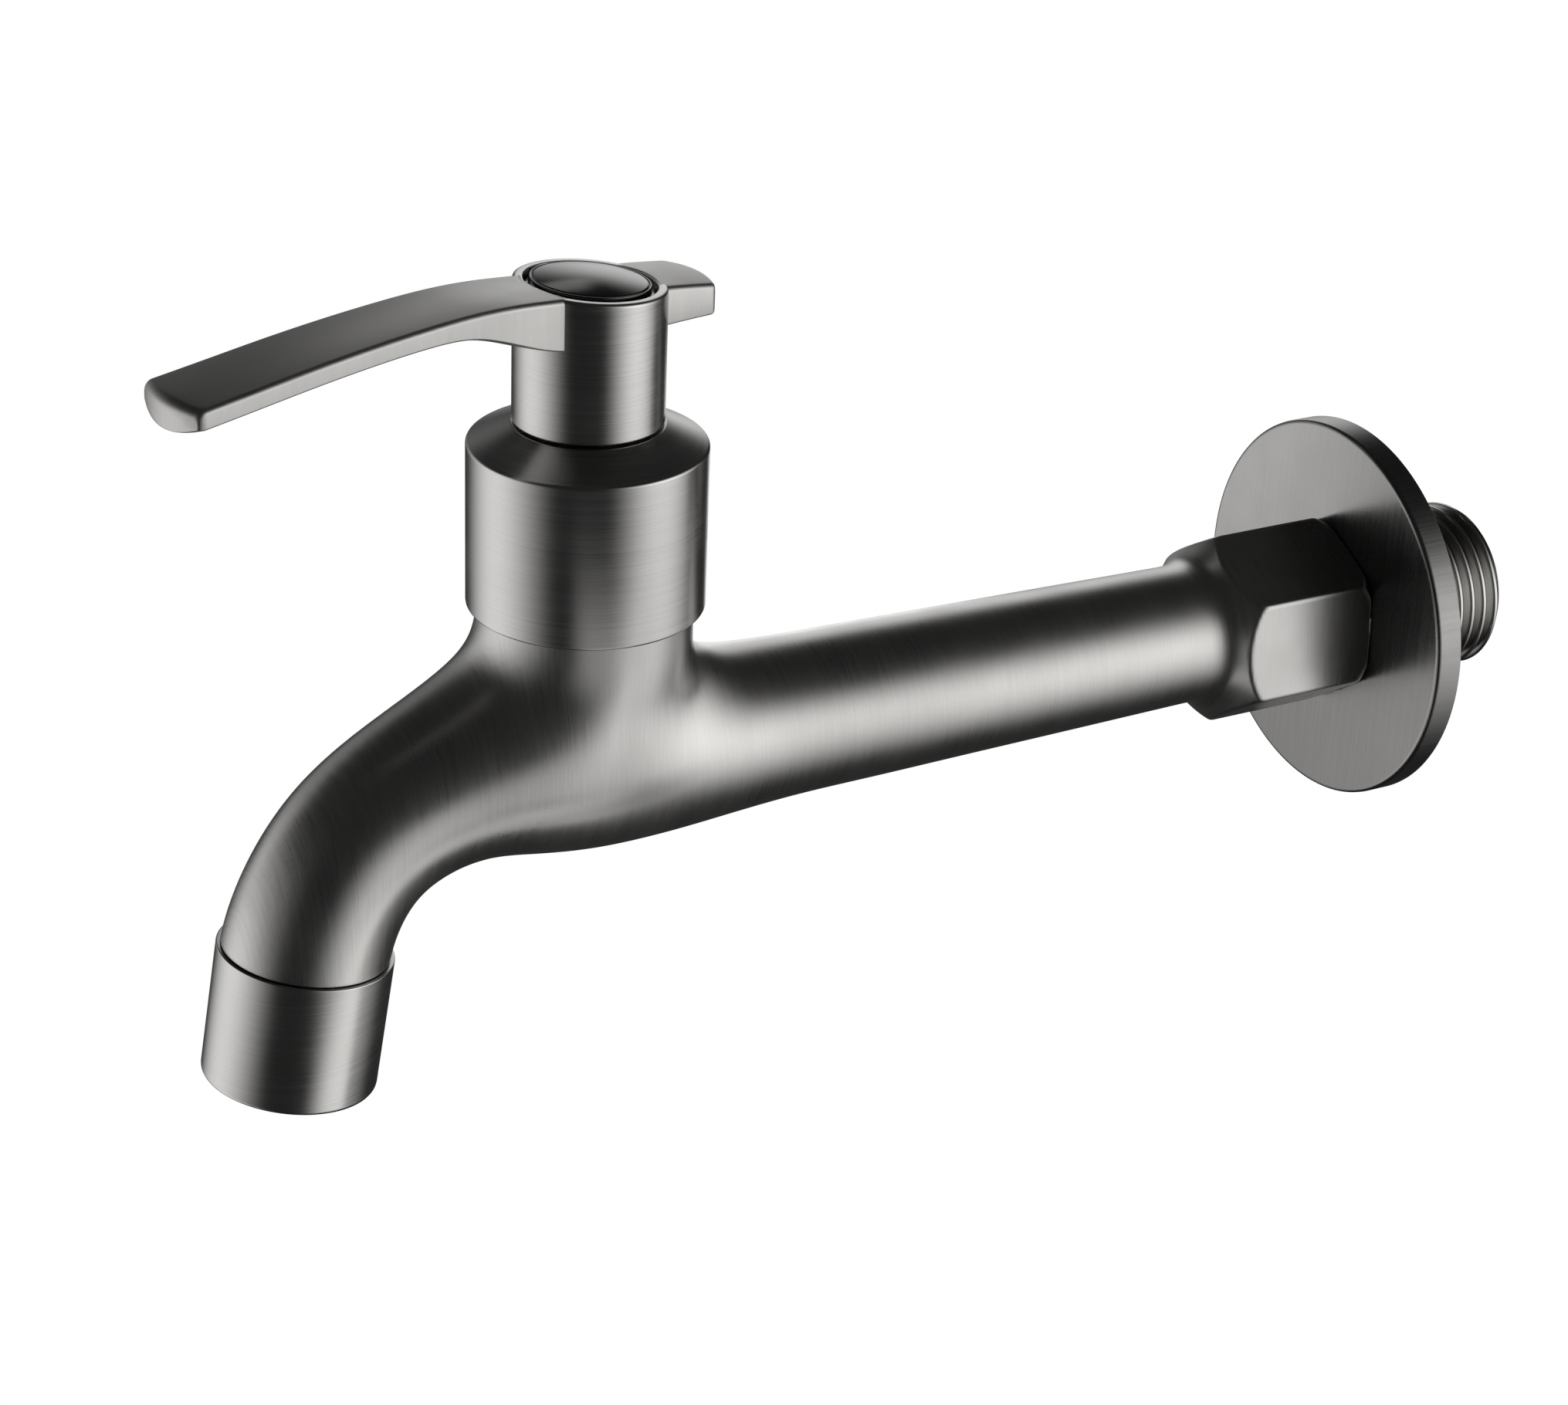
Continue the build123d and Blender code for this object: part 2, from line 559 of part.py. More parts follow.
def lever_bar():
    """The lever and its rear stub, along -Y from the hub's axis."""
    stations = [
        LEVER_STUB_END, LEVER_STUB, LEVER_CENTRE, LEVER_ROOT, LEVER_ARCH_BACK, LEVER_ARCH,
        LEVER_ARCH_FRONT, LEVER_MIDDLE, LEVER_FRONT, LEVER_NOSE, LEVER_TIP,
    ]
    long_bar = loft([lever_section(station) for station in stations])
    half = LEVER_TIP_WIDTH / 2 + 1
    shoulder, corner = STUB_REACH - STUB_END_BULGE, LEVER_END_BULGE - LEVER_REACH
    plan = make_face([
        Line((-half, shoulder), (-half, corner)),
        ThreePointArc((-half, corner), (0, -LEVER_REACH), (half, corner)),
        Line((half, corner), (half, shoulder)),
        ThreePointArc((half, shoulder), (0, STUB_REACH), (-half, shoulder)),
    ])
    return long_bar & (Pos(0, 0, HANDLE_BOTTOM) * extrude(plan, BONNET_TOP))


def handle():
    """Hub, lever and stub, with the spline socket, the screw's pocket and the cap's seat."""
    hub = disc(HUB_R, HANDLE_BOTTOM, HUB_TOP + HUB_R)
    top_plane = Pos(0, 0, HUB_TOP) * Rot(-TOP_SLOPE, 0, 0)
    hub -= top_plane * disc(3 * HUB_R, 0, 3 * HUB_R)
    foot = hub.edges().filter_by(GeomType.CIRCLE).sort_by(Axis.Z)[0]
    grip = chamfer(foot, HUB_EDGE) + lever_bar()
    grip -= disc(HUB_R - SKIRT_WALL, HANDLE_BOTTOM - 1, SOCKET_START)
    tip_r = SPLINE_TIP_R + SPLINE_CLEAR
    grip -= spline_bar(tip_r, SPLINE_ROOT_R + SPLINE_CLEAR, SOCKET_START - 1, SPINDLE_TOP)
    grip -= disc(SCREW_R + 2 * SLIP, SPINDLE_TOP - 1, WEB_TOP + 1)
    grip -= disc(SCREW_POCKET_R, WEB_TOP, HUB_TOP + HUB_R)
    grip -= top_plane * disc(CAP_R + CAP_SEAT_GAP, -CAP_SEAT_DROP, HUB_R)
    return HUB_AXIS * Rot(0, 0, LEVER_YAW) * grip


def screw_washer():
    """The washer under the screw's head."""
    return HUB_AXIS * ring(SCREW_WASHER_R, SCREW_R + 2 * SLIP, WEB_TOP, WASHER_TOP)


def handle_screw():
    """The cross-headed screw that holds the handle down."""
    screw = disc(SCREW_R, WASHER_TOP - SCREW_LENGTH, WASHER_TOP)
    screw += disc(SCREW_HEAD_R, WASHER_TOP, HEAD_TOP)
    for turn in (0, 90):
        recess = bar(SCREW_SLOT_LENGTH, SCREW_SLOT_WIDTH, HEAD_TOP - SCREW_SLOT_DEPTH, HEAD_TOP + 1)
        screw -= Rot(0, 0, turn) * recess
    return HUB_AXIS * screw


def handle_cap():
    """The domed button, its sunken shoulder, and the plug that holds its ring."""
    dome_top = CAP_BUTTON_STAND + CAP_DOME_RISE
    ball_r = (CAP_BUTTON_R ** 2 + CAP_DOME_RISE ** 2) / 2 / CAP_DOME_RISE
    half_way = ball_r * math.sin(math.asin(CAP_BUTTON_R / ball_r) / 2)
    half_way_top = dome_top - ball_r + math.sqrt(ball_r ** 2 - half_way ** 2)
    outline = make_face([
        Polyline(
            (0, dome_top), (0, -CAP_SEAT_DROP), (CAP_R, -CAP_SEAT_DROP), (CAP_R, -CAP_SHOULDER_SINK),
            (CAP_BUTTON_R, -CAP_SHOULDER_SINK), (CAP_BUTTON_R, CAP_BUTTON_STAND),
        ),
        ThreePointArc((CAP_BUTTON_R, CAP_BUTTON_STAND), (half_way, half_way_top), (0, dome_top)),
    ])
    button = Pos(0, 0, HUB_TOP) * Rot(-TOP_SLOPE, 0, 0) * revolve(Plane.XZ * outline, Axis.Z)
    plug_r = SCREW_POCKET_R - SLIP
    plug = ring(plug_r, plug_r - CAP_PLUG_WALL, cap_plug_low(), CAP_SEAT_Z + CAP_SEAT_DROP / 2)
    groove_r = SCREW_POCKET_R - 2 * CAP_RING_SECTION_R
    ring_z = cap_ring_height()
    plug -= ring(SCREW_POCKET_R + 1, groove_r, ring_z - CAP_RING_SECTION_R, ring_z + CAP_RING_SECTION_R)
    return HUB_AXIS * Rot(0, 0, LEVER_YAW) * (button + plug)


def cap_plug_low():
    """Height of the bottom of the cap's plug."""
    return CAP_SEAT_Z - CAP_PLUG_LENGTH


def cap_ring_height():
    """Height of the middle of the cap's ring."""
    return cap_plug_low() + 2 * CAP_RING_SECTION_R


def cap_o_ring():
    """The ring that holds the cap in the hub."""
    centre_r = SCREW_POCKET_R - CAP_RING_SECTION_R
    return HUB_AXIS * ring_seal(centre_r, CAP_RING_SECTION_R - SLIP / 2, cap_ring_height())


def aerator_housing():
    """The tapered ring on the end of the spout, with a lip that holds the insert."""
    lip_r = AERATOR_BORE_R - AERATOR_LIP
    shell = turned([
        (AERATOR_BORE_R, 0), (AERATOR_TOP_R, 0), (AERATOR_END_R, AERATOR_EDGE - AERATOR_LENGTH),
        (AERATOR_END_R - AERATOR_EDGE, -AERATOR_LENGTH), (lip_r, -AERATOR_LENGTH),
        (lip_r, -INSERT_END), (AERATOR_BORE_R, -INSERT_END),
    ])
    return AERATOR_PLACE * shell


def aerator_washer():
    """The rubber washer under the spout's end."""
    return AERATOR_PLACE * ring(INSERT_R, SPOUT_TIP_R - SPOUT_TIP_WALL, -SCREEN_FACE, -WASHER_FACE)


def drilled_plate(hole_r, step, rings, low, high):
    """A round plate across the aerator, drilled on rings with six more holes on each one outward."""
    face = Sketch() + Circle(INSERT_R)
    places = [(0, 0)]
    for number in range(1, rings + 1):
        for hole in range(6 * number):
            angle = math.radians(hole * 60 / number)
            places.append((number * step * math.cos(angle), number * step * math.sin(angle)))
    face -= [Pos(x, y) * Circle(hole_r) for x, y in places]
    return AERATOR_PLACE * Pos(0, 0, low) * extrude(face, high - low)


def aerator_screen():
    """The fine steel screen over the jet plate."""
    return drilled_plate(SCREEN_HOLE_R, SCREEN_HOLE_STEP, SCREEN_HOLE_RINGS, -PLATE_FACE, -SCREEN_FACE)


def aerator_jet_plate():
    """The plate that splits the water into jets."""
    return drilled_plate(JET_HOLE_R, JET_HOLE_STEP, JET_HOLE_RINGS, -INSERT_FACE, -PLATE_FACE)


def aerator_insert():
    """The barrel below the jet plate, with a ledge that the grid sits on."""
    bore_r = INSERT_R - INSERT_WALL
    barrel = ring(INSERT_R, bore_r, -INSERT_END, -INSERT_FACE)
    return AERATOR_PLACE * (barrel + ring(bore_r + SLIP, bore_r - INSERT_LEDGE_WIDTH, -INSERT_END, -GRID_END))


def aerator_grid():
    """The honeycomb that straightens the stream."""
    face = Sketch() + Circle(GRID_R)
    cell_r = (GRID_CELL - GRID_CELL_WALL) / 2 / math.cos(math.pi / 6)
    rows = int(GRID_R // GRID_CELL) + 1
    for row in range(-rows, rows + 1):
        for column in range(-rows - 1, rows + 2):
            x = (column + 0.5 * (row % 2)) * GRID_CELL
            y = row * GRID_CELL * math.cos(math.pi / 6)
            if math.hypot(x, y) + cell_r < GRID_R - GRID_RIM:
                face -= Pos(x, y) * RegularPolygon(cell_r, 6, rotation=90)
    return AERATOR_PLACE * Pos(0, 0, -GRID_END) * extrude(face, GRID_THICK)


NODES = {
    "body": body,
    "wall_flange": wall_flange,
    "bonnet_sleeve": bonnet_sleeve,
    "handle": handle,
    "handle_cap": handle_cap,
    "aerator_housing": aerator_housing,
    "cartridge_housing": cartridge_housing,
    "housing_o_ring": housing_o_ring,
    "spindle": spindle,
    "spindle_o_rings": spindle_o_rings,
    "spindle_clip": spindle_clip,
    "friction_washer": friction_washer,
    "moving_disc": moving_disc,
    "fixed_disc": fixed_disc,
    "seat_seal": seat_seal,
    "handle_screw": handle_screw,
    "screw_washer": screw_washer,
    "cap_o_ring": cap_o_ring,
    "aerator_washer": aerator_washer,
    "aerator_screen": aerator_screen,
    "aerator_jet_plate": aerator_jet_plate,
    "aerator_insert": aerator_insert,
    "aerator_grid": aerator_grid,
}

if __name__ == "__main__":
    os.makedirs("parts", exist_ok=True)
    for name, make in NODES.items():
        export_step(make(), f"parts/{name}.step")
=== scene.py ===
"""Wall-mounted tap in brushed gun-metal grey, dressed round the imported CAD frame."""

import json
import logging
import math
from collections.abc import Callable
from dataclasses import dataclass
from enum import Enum

import bmesh
import bpy
import numpy as np
from mathutils import Matrix, Vector


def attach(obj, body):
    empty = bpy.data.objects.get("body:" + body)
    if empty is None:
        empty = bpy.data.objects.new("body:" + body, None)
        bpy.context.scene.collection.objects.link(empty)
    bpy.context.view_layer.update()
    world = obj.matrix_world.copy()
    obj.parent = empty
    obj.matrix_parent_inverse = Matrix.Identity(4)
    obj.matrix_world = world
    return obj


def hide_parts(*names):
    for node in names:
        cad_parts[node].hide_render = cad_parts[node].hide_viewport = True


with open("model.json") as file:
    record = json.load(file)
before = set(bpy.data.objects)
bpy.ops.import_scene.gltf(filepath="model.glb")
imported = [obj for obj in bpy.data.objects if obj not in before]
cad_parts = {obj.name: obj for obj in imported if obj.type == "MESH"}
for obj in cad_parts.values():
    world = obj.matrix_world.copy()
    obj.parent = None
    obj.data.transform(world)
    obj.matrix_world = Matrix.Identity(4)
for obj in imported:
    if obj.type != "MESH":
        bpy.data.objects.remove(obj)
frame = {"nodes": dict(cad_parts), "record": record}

LOG = logging.getLogger("tap")
MM = 0.001
FULL_TURN = 2.0 * math.pi
# Keeps a division away from zero
TINY = 1e-9
Placing = Callable[[np.ndarray], np.ndarray]
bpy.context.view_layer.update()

# Where things stand, in millimetres, as in the CAD
HUB_REACH = 106.7
HUB_AXIS = np.array([0.0, -HUB_REACH, 0.0])
LEVER_YAW = math.radians(11.0)
AERATOR_TOP = np.array([0.0, -140.75, -16.75])
AERATOR_LEAN = math.radians(8.65)


class Body(Enum):
    """The CAD bodies that pieces ride on."""

    TAP = "tap"
    HANDLE = "handle"


class Grain(Enum):
    """Which way a surface was brushed: the piece's own axis that the brush marks repeat along."""

    ALONG_X = (1.0, 0.0, 0.0)
    ALONG_Y = (0.0, 1.0, 0.0)
    ALONG_Z = (0.0, 0.0, 1.0)


# Meshes


def turn_z(points: np.ndarray, angle: float) -> np.ndarray:
    """Turns points about the Z axis: x' = x cos a - y sin a, y' = x sin a + y cos a.

    Args:
        points: an array whose last axis is x, y, z.
        angle: the turn in radians, anticlockwise from above.

    Returns:
        The turned points, in an array of the same shape.
    """
    c, s = math.cos(angle), math.sin(angle)
    return points @ np.array([[c, s, 0.0], [-s, c, 0.0], [0.0, 0.0, 1.0]])


def smoothstep(low: float, high: float, value: np.ndarray) -> np.ndarray:
    """Eases from 0 at low to 1 at high: t squared times 3 - 2t."""
    t = np.clip((value - low) / (high - low), 0.0, 1.0)
    return t * t * (3.0 - 2.0 * t)


def soft_min(first: np.ndarray, second: np.ndarray, width: np.ndarray | float) -> np.ndarray:
    """The smaller of two fields, blended where they differ by less than width.

    The blend takes off h cubed times width / 6, where h falls from 1 where the fields are equal
    to 0 where they differ by width.

    Args:
        first: a field's values.
        second: another field's values.
        width: how far apart they still blend.

    Returns:
        The blended values.
    """
    h = np.clip(1.0 - np.abs(first - second) / np.maximum(width, TINY), 0.0, 1.0)
    return np.minimum(first, second) - h ** 3 * width / 6.0


def soft_max(first: np.ndarray, second: np.ndarray, width: float) -> np.ndarray:
    """The larger of two fields, blended as soft_min does."""
    return -soft_min(-first, -second, width)


def cubic_through(knots: np.ndarray, values: np.ndarray, at: np.ndarray) -> np.ndarray:
    """A natural cubic spline: pieces of third degree whose slope and bend agree at each knot.

    Args:
        knots: rising parameters, n of them.
        values: n rows to pass through.
        at: parameters to work out.

    Returns:
        One row for each parameter in at.
    """
    n = len(knots)
    gap = np.diff(knots)
    system = np.eye(n)
    right = np.zeros_like(values)
    inner = np.arange(1, n - 1)
    system[inner, inner - 1] = gap[:-1]
    system[inner, inner] = 2.0 * (gap[:-1] + gap[1:])
    system[inner, inner + 1] = gap[1:]
    steps = np.diff(values, axis=0) / gap[:, None]
    right[1:-1] = 6.0 * (steps[1:] - steps[:-1])
    bend = np.linalg.solve(system, right)
    piece = np.clip(np.searchsorted(knots, at, side="right") - 1, 0, n - 2)
    width = gap[piece][:, None]
    left = (knots[piece + 1] - at)[:, None]
    rest = (at - knots[piece])[:, None]
    low, high = values[piece], values[piece + 1]
    return (
        bend[piece] * left ** 3 / (6.0 * width)
        + bend[piece + 1] * rest ** 3 / (6.0 * width)
        + (low / width - bend[piece] * width / 6.0) * left
        + (high / width - bend[piece + 1] * width / 6.0) * rest
    )


def rounded_profile(
    corners: list[tuple[float, float, float]] | tuple, closed: bool = True, steps: int = 4,
) -> np.ndarray:
    """A turned piece's outline with each corner eased by a short curve.

    Each corner P with ease e becomes the curve (1-t)^2 A + 2t(1-t) P + t^2 B, where A and B lie e
    before and after it on the two sides.

    Args:
        corners: radius, height and ease of each corner, in millimetres.
        closed: whether the last corner joins the first.
        steps: pieces in each curve.

    Returns:
        Radius and height of each point, in order.
    """
    table = np.array(corners)
    place, ease = table[:, :2], table[:, 2:3]
    before = np.roll(place, 1, axis=0) - place
    after = np.roll(place, -1, axis=0) - place
    before /= np.maximum(np.linalg.norm(before, axis=1, keepdims=True), TINY)
    after /= np.maximum(np.linalg.norm(after, axis=1, keepdims=True), TINY)
    t = np.linspace(0.0, 1.0, steps + 1)[None, :, None]
    start, end = (place + before * ease)[:, None], (place + after * ease)[:, None]
    curve = (1 - t) ** 2 * start + 2 * t * (1 - t) * place[:, None] + t ** 2 * end
    keep = np.repeat(ease > 0.0, steps + 1, axis=1)
    keep[:, 0] = True
    if not closed:
        keep[[0, -1], 1:] = False
        curve[[0, -1], 0] = place[[0, -1]]
    return curve[keep]


class Shell:
    """Gathers grids of points and closing fans into one mesh, in millimetres."""

    def __init__(self) -> None:
        """Starts with nothing."""
        self.points: list[np.ndarray] = []
        self.faces: list[np.ndarray] = []
        self.count = 0

    def add_points(self, points: np.ndarray) -> np.ndarray:
        """Adds points.

        Args:
            points: an array whose last axis is x, y, z.

        Returns:
            Their numbers, in the array's own shape.
        """
        flat = points.reshape(-1, 3)
        numbers = np.arange(self.count, self.count + len(flat)).reshape(points.shape[:-1])
        self.points.append(flat)
        self.count += len(flat)
        return numbers

    def grid(self, points: np.ndarray, round_rows: bool = False) -> np.ndarray:
        """Adds a grid whose columns close on themselves.

        Args:
            points: rows by columns by 3, in millimetres.
            round_rows: whether the last row also joins the first.

        Returns:
            The numbers of the points, rows by columns.
        """
        numbers = self.add_points(points)
        rows = np.vstack([numbers, numbers[:1]]) if round_rows else numbers
        ahead = np.roll(rows, -1, axis=1)
        quads = np.stack([rows[:-1], ahead[:-1], ahead[1:], rows[1:]], axis=-1)
        self.faces.append(quads.reshape(-1, 4))
        return numbers

    def fan(self, ring: np.ndarray, middle: np.ndarray, flip: bool = False) -> None:
        """Closes a ring of points with triangles to one middle point.

        Args:
            ring: the numbers of the ring's points.
            middle: the point in the middle.
            flip: turns the faces over.
        """
        centre = self.add_points(middle.reshape(1, 3))[0]
        triangles = np.stack([ring, np.roll(ring, -1), np.full_like(ring, centre)], axis=-1)
        self.faces.append(triangles[:, ::-1] if flip else triangles)

    def stack(self, points: np.ndarray) -> None:
        """Adds a grid and closes its first and last row with fans to their middles.

        Args:
            points: rows by columns by 3, in millimetres.
        """
        numbers = self.grid(points)
        for row in (0, -1):
            self.fan(numbers[row], points[row].mean(axis=0), flip=row == 0)

    def to_object(self, name: str) -> bpy.types.Object:
        """Makes the object, smooth, closed and with its faces outwards.

        Args:
            name: the piece's name.

        Returns:
            The new object, at the origin.
        """
        mesh = bpy.data.meshes.new(name)
        faces = [face for block in self.faces for face in block.tolist()]
        mesh.from_pydata((np.vstack(self.points) * MM).tolist(), [], faces)
        work = bmesh.new()
        work.from_mesh(mesh)
        bmesh.ops.recalc_face_normals(work, faces=work.faces)
        work.to_mesh(mesh)
        work.free()
        mesh.shade_smooth()
        piece = bpy.data.objects.new(name, mesh)
        bpy.context.scene.collection.objects.link(piece)
        return piece


def flat_faces_lead(piece: bpy.types.Object) -> None:
    """Lets the large faces set the shading, so that narrow bevels take the whole turn.

    Args:
        piece: the piece that gets the modifier.
    """
    modifier = piece.modifiers.new("face_weighted_shading", "WEIGHTED_NORMAL")
    modifier.mode = "FACE_AREA"
    modifier.weight = 80


def lathe(
    name: str, profile: np.ndarray, columns: int, place: Placing, closed: bool = True,
) -> bpy.types.Object:
    """Turns a profile about an axis: (r cos a, r sin a, h) for each point and angle a.

    Args:
        name: the piece's name.
        profile: radius and height of each point.
        columns: how many angles.
        place: a function that carries points from the turning axis to their place.
        closed: whether the profile is a loop; if not, both its ends are closed by fans.

    Returns:
        The new object.
    """
    angle = np.linspace(0.0, FULL_TURN, columns, endpoint=False)
    radius, height = profile[:, :1], profile[:, 1:]
    points = np.stack([radius * np.cos(angle), radius * np.sin(angle), height + 0.0 * angle], axis=-1)
    shell = Shell()
    if closed:
        shell.grid(place(points), round_rows=True)
    else:
        shell.stack(place(points))
    piece = shell.to_object(name)
    flat_faces_lead(piece)
    return piece


# Materials


def linear(hex_colour: str) -> tuple[float, float, float, float]:
    """Turns an sRGB colour into linear light: c / 12.92 near black, else ((c + 0.055) / 1.055)^2.4.

    Args:
        hex_colour: the colour, as #RRGGBB.

    Returns:
        Red, green and blue as linear light, and full alpha.
    """
    channels = [int(hex_colour[i:i + 2], 16) / 255.0 for i in (1, 3, 5)]
    light = [c / 12.92 if c <= 0.04045 else ((c + 0.055) / 1.055) ** 2.4 for c in channels]
    return (*light, 1.0)


def add_node(
    tree: bpy.types.NodeTree, kind: str, settings: dict | None = None, **inputs: object,
) -> bpy.types.Node:
    """Adds a node with its settings, values and links.

    Args:
        tree: the node tree.
        kind: the node's type name, without ShaderNode in front.
        settings: the node's own settings.
        inputs: values or output sockets for its inputs, by name with _ for a space, or by number
            as in_0.

    Returns:
        The new node.
    """
    node = tree.nodes.new("ShaderNode" + kind)
    for name, value in (settings or {}).items():
        setattr(node, name, value)
    for name, value in inputs.items():
        key = int(name[3:]) if name.startswith("in_") else name.replace("_", " ")
        socket = node.inputs[key]
        if isinstance(value, bpy.types.NodeSocket):
            tree.links.new(value, socket)
        else:
            socket.default_value = value
    return node


def new_material(name: str) -> tuple[bpy.types.Material, bpy.types.NodeTree]:
    """Makes an empty node material.

    Args:
        name: the material's name.

    Returns:
        The material and its tree.
    """
    material = bpy.data.materials.new(name)
    material.use_nodes = True
    material.node_tree.nodes.clear()
    return material, material.node_tree


def add_surface(
    tree: bpy.types.NodeTree, finish: "BrushedMetal | PlainSolid", shade: bpy.types.NodeSocket,
    rough: bpy.types.NodeSocket, relief: bpy.types.NodeSocket,
) -> None:
    """Ends a tree in a shader with the finish's two colours mixed, its gloss and its relief.

    Args:
        tree: the material's tree.
        finish: whose colours, metallic share and relief are used.
        shade: where the surface is light, from 0 to 1.
        rough: the roughness.
        relief: the height that the bump is made from.
    """
    colour = add_node(
        tree, "Mix", {"data_type": "RGBA"},
        in_0=shade, in_6=linear(finish.dark), in_7=linear(finish.light),
    )
    bump = add_node(
        tree, "Bump", Height=relief, Strength=finish.depth, Distance=finish.relief_mm * MM,
    )
    shader = add_node(
        tree, "BsdfPrincipled", Base_Color=colour.outputs[2], Metallic=finish.metallic,
        Roughness=rough, Normal=bump.outputs[0],
    )
    add_node(tree, "OutputMaterial", Surface=shader.outputs[0])


@dataclass(frozen=True)
class BrushedMetal:
    """Metal finished with an abrasive belt or wheel: fine lines that catch the light.

    A line is line_mm wide and run_mm long, and the lines follow each other along the grain's axis.
    """

    name: str
    light: str
    dark: str
    grain: Grain
    roughness: float
    line_mm: float
    run_mm: float
    depth: float
    spread: float
    metallic: float = 1.0
    cloud_mm: float = 9.0
    relief_mm: float = 0.02

    def make(self) -> bpy.types.Material:
        """Builds the material: line noise for colour, roughness and bump, and faint clouding.

        Returns:
            The material.
        """
        material, tree = new_material(self.name)
        where = add_node(tree, "TexCoord").outputs["Object"]
        along, across = 1.0 / (self.line_mm * MM), 1.0 / (self.run_mm * MM)
        scale = tuple(along if axis else across for axis in self.grain.value)
        mapped = add_node(tree, "Mapping", Vector=where, Scale=scale)
        lines = add_node(tree, "TexNoise", Vector=mapped.outputs[0], Scale=1.0, Detail=3.0, Roughness=0.6)
        clouds = add_node(tree, "TexNoise", Vector=where, Scale=1.0 / (self.cloud_mm * MM), Detail=2.0)
        shade = add_node(tree, "MapRange", Value=lines.outputs[0], From_Min=0.3, From_Max=0.7)
        worn = add_node(tree, "Math", {"operation": "ADD"}, in_0=lines.outputs[0], in_1=clouds.outputs[0])
        rough = add_node(
            tree, "MapRange", Value=worn.outputs[0], From_Min=0.7, From_Max=1.3,
            To_Min=self.roughness - self.spread, To_Max=self.roughness + self.spread,
        )
        add_surface(tree, self, shade.outputs[0], rough.outputs[0], lines.outputs[0])
        return material


@dataclass(frozen=True)
class PlainSolid:
    """Moulded, pressed or turned stuff of one colour with fine grain and slight clouding."""

    name: str
    light: str
    dark: str
    metallic: float
    roughness: float
    grain_mm: float
    depth: float = 0.15
    spread: float = 0.08
    relief_mm: float = 0.03

    def make(self) -> bpy.types.Material:
        """Builds the material: clouded colour, roughness and bump from one noise.

        Returns:
            The material.
        """
        material, tree = new_material(self.name)
        where = add_node(tree, "TexCoord").outputs["Object"]
        grain = add_node(tree, "TexNoise", Vector=where, Scale=1.0 / (self.grain_mm * MM), Detail=3.0)
        rough = add_node(
            tree, "MapRange", Value=grain.outputs[0],
            To_Min=self.roughness - self.spread, To_Max=self.roughness + self.spread,
        )
        add_surface(tree, self, grain.outputs[0], rough.outputs[0], grain.outputs[0])
        return material


# Brushed gun-metal plating over brass: neutral dark grey metal, keen enough to mirror a lamp as a
# soft band, with marks 0.1 to 0.3 mm wide.
# The flange is a little darker, the button is polished and darker still, and the lever is duller.
X, Y, Z = Grain.ALONG_X, Grain.ALONG_Y, Grain.ALONG_Z
TURNED = BrushedMetal("gunmetal_ring_brushed", "#A7A6A4", "#9D9C9A", Z, 0.24, 0.13, 30.0, 0.1, 0.04)
CAST = BrushedMetal("gunmetal_belt_brushed", "#A7A6A4", "#9C9B99", Y, 0.3, 0.15, 6.0, 0.1, 0.04)
PLATE = BrushedMetal("gunmetal_plate_brushed", "#7D7C7B", "#727170", X, 0.27, 0.16, 20.0, 0.15, 0.05)
BUTTON = BrushedMetal("gunmetal_button_polished", "#5C5B5A", "#585756", Y, 0.16, 0.1, 6.0, 0.05, 0.03)
GRIP = BrushedMetal("gunmetal_grip_brushed", "#A7A6A4", "#9D9C9A", X, 0.4, 0.13, 12.0, 0.08, 0.04)
THREADED = BrushedMetal("gunmetal_cut_thread", "#A7A6A4", "#93928F", Y, 0.2, 0.3, 6.0, 0.1, 0.04)

# Pieces inside: turned brass, lapped ceramic, moulded rubber, steel and moulded plastic
INNER = {
    "brass": PlainSolid("brass_turned", "#D8B46A", "#C29B50", 1.0, 0.3, 0.6),
    "ceramic": PlainSolid("alumina_lapped", "#F1EEE6", "#E6E1D6", 0.0, 0.25, 0.4),
    "rubber": PlainSolid("nitrile_moulded", "#2A2A2A", "#1E1E1E", 0.0, 0.65, 0.5),
    "spring_steel": PlainSolid("stainless_rolled", "#C9C8C5", "#B7B6B2", 1.0, 0.3, 0.5),
    "screw_steel": PlainSolid("stainless_satin", "#CDCCC9", "#BCBBB8", 1.0, 0.35, 0.5),
    "washer_plastic": PlainSolid("acetal_moulded", "#EDEDE8", "#E2E2DC", 0.0, 0.4, 0.8),
    "aerator_plastic": PlainSolid("acetal_grey_moulded", "#C3C5C6", "#B4B6B7", 0.0, 0.4, 0.8),
}


def finish_piece(piece: bpy.types.Object, metal: BrushedMetal, body: Body, *nodes: str) -> None:
    """Gives a piece its material in one slot, puts it on its body and hides the CAD nodes that it stands
    for.

    Args:
        piece: the piece's object.
        metal: its finish, whose material is made the first time that a piece takes it.
        body: the CAD body that it rides on.
        nodes: the CAD nodes that it replaces.
    """
    piece.data.materials.clear()
    piece.data.materials.append(bpy.data.materials.get(metal.name) or metal.make())
    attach(piece, body.value)
    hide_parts(*nodes)
    LOG.info("%s: %d faces, on %s", piece.name, len(piece.data.polygons), body.value)


# Pieces


def at_hub(points: np.ndarray) -> np.ndarray:
    """Carries points from a vertical axis at zero to the hub's axis."""
    return points + HUB_AXIS


def at_wall(points: np.ndarray) -> np.ndarray:
    """Carries points from a vertical axis to the wall thread's axis, up to into the wall."""
    return points @ np.array([[1.0, 0.0, 0.0], [0.0, 0.0, -1.0], [0.0, 1.0, 0.0]])


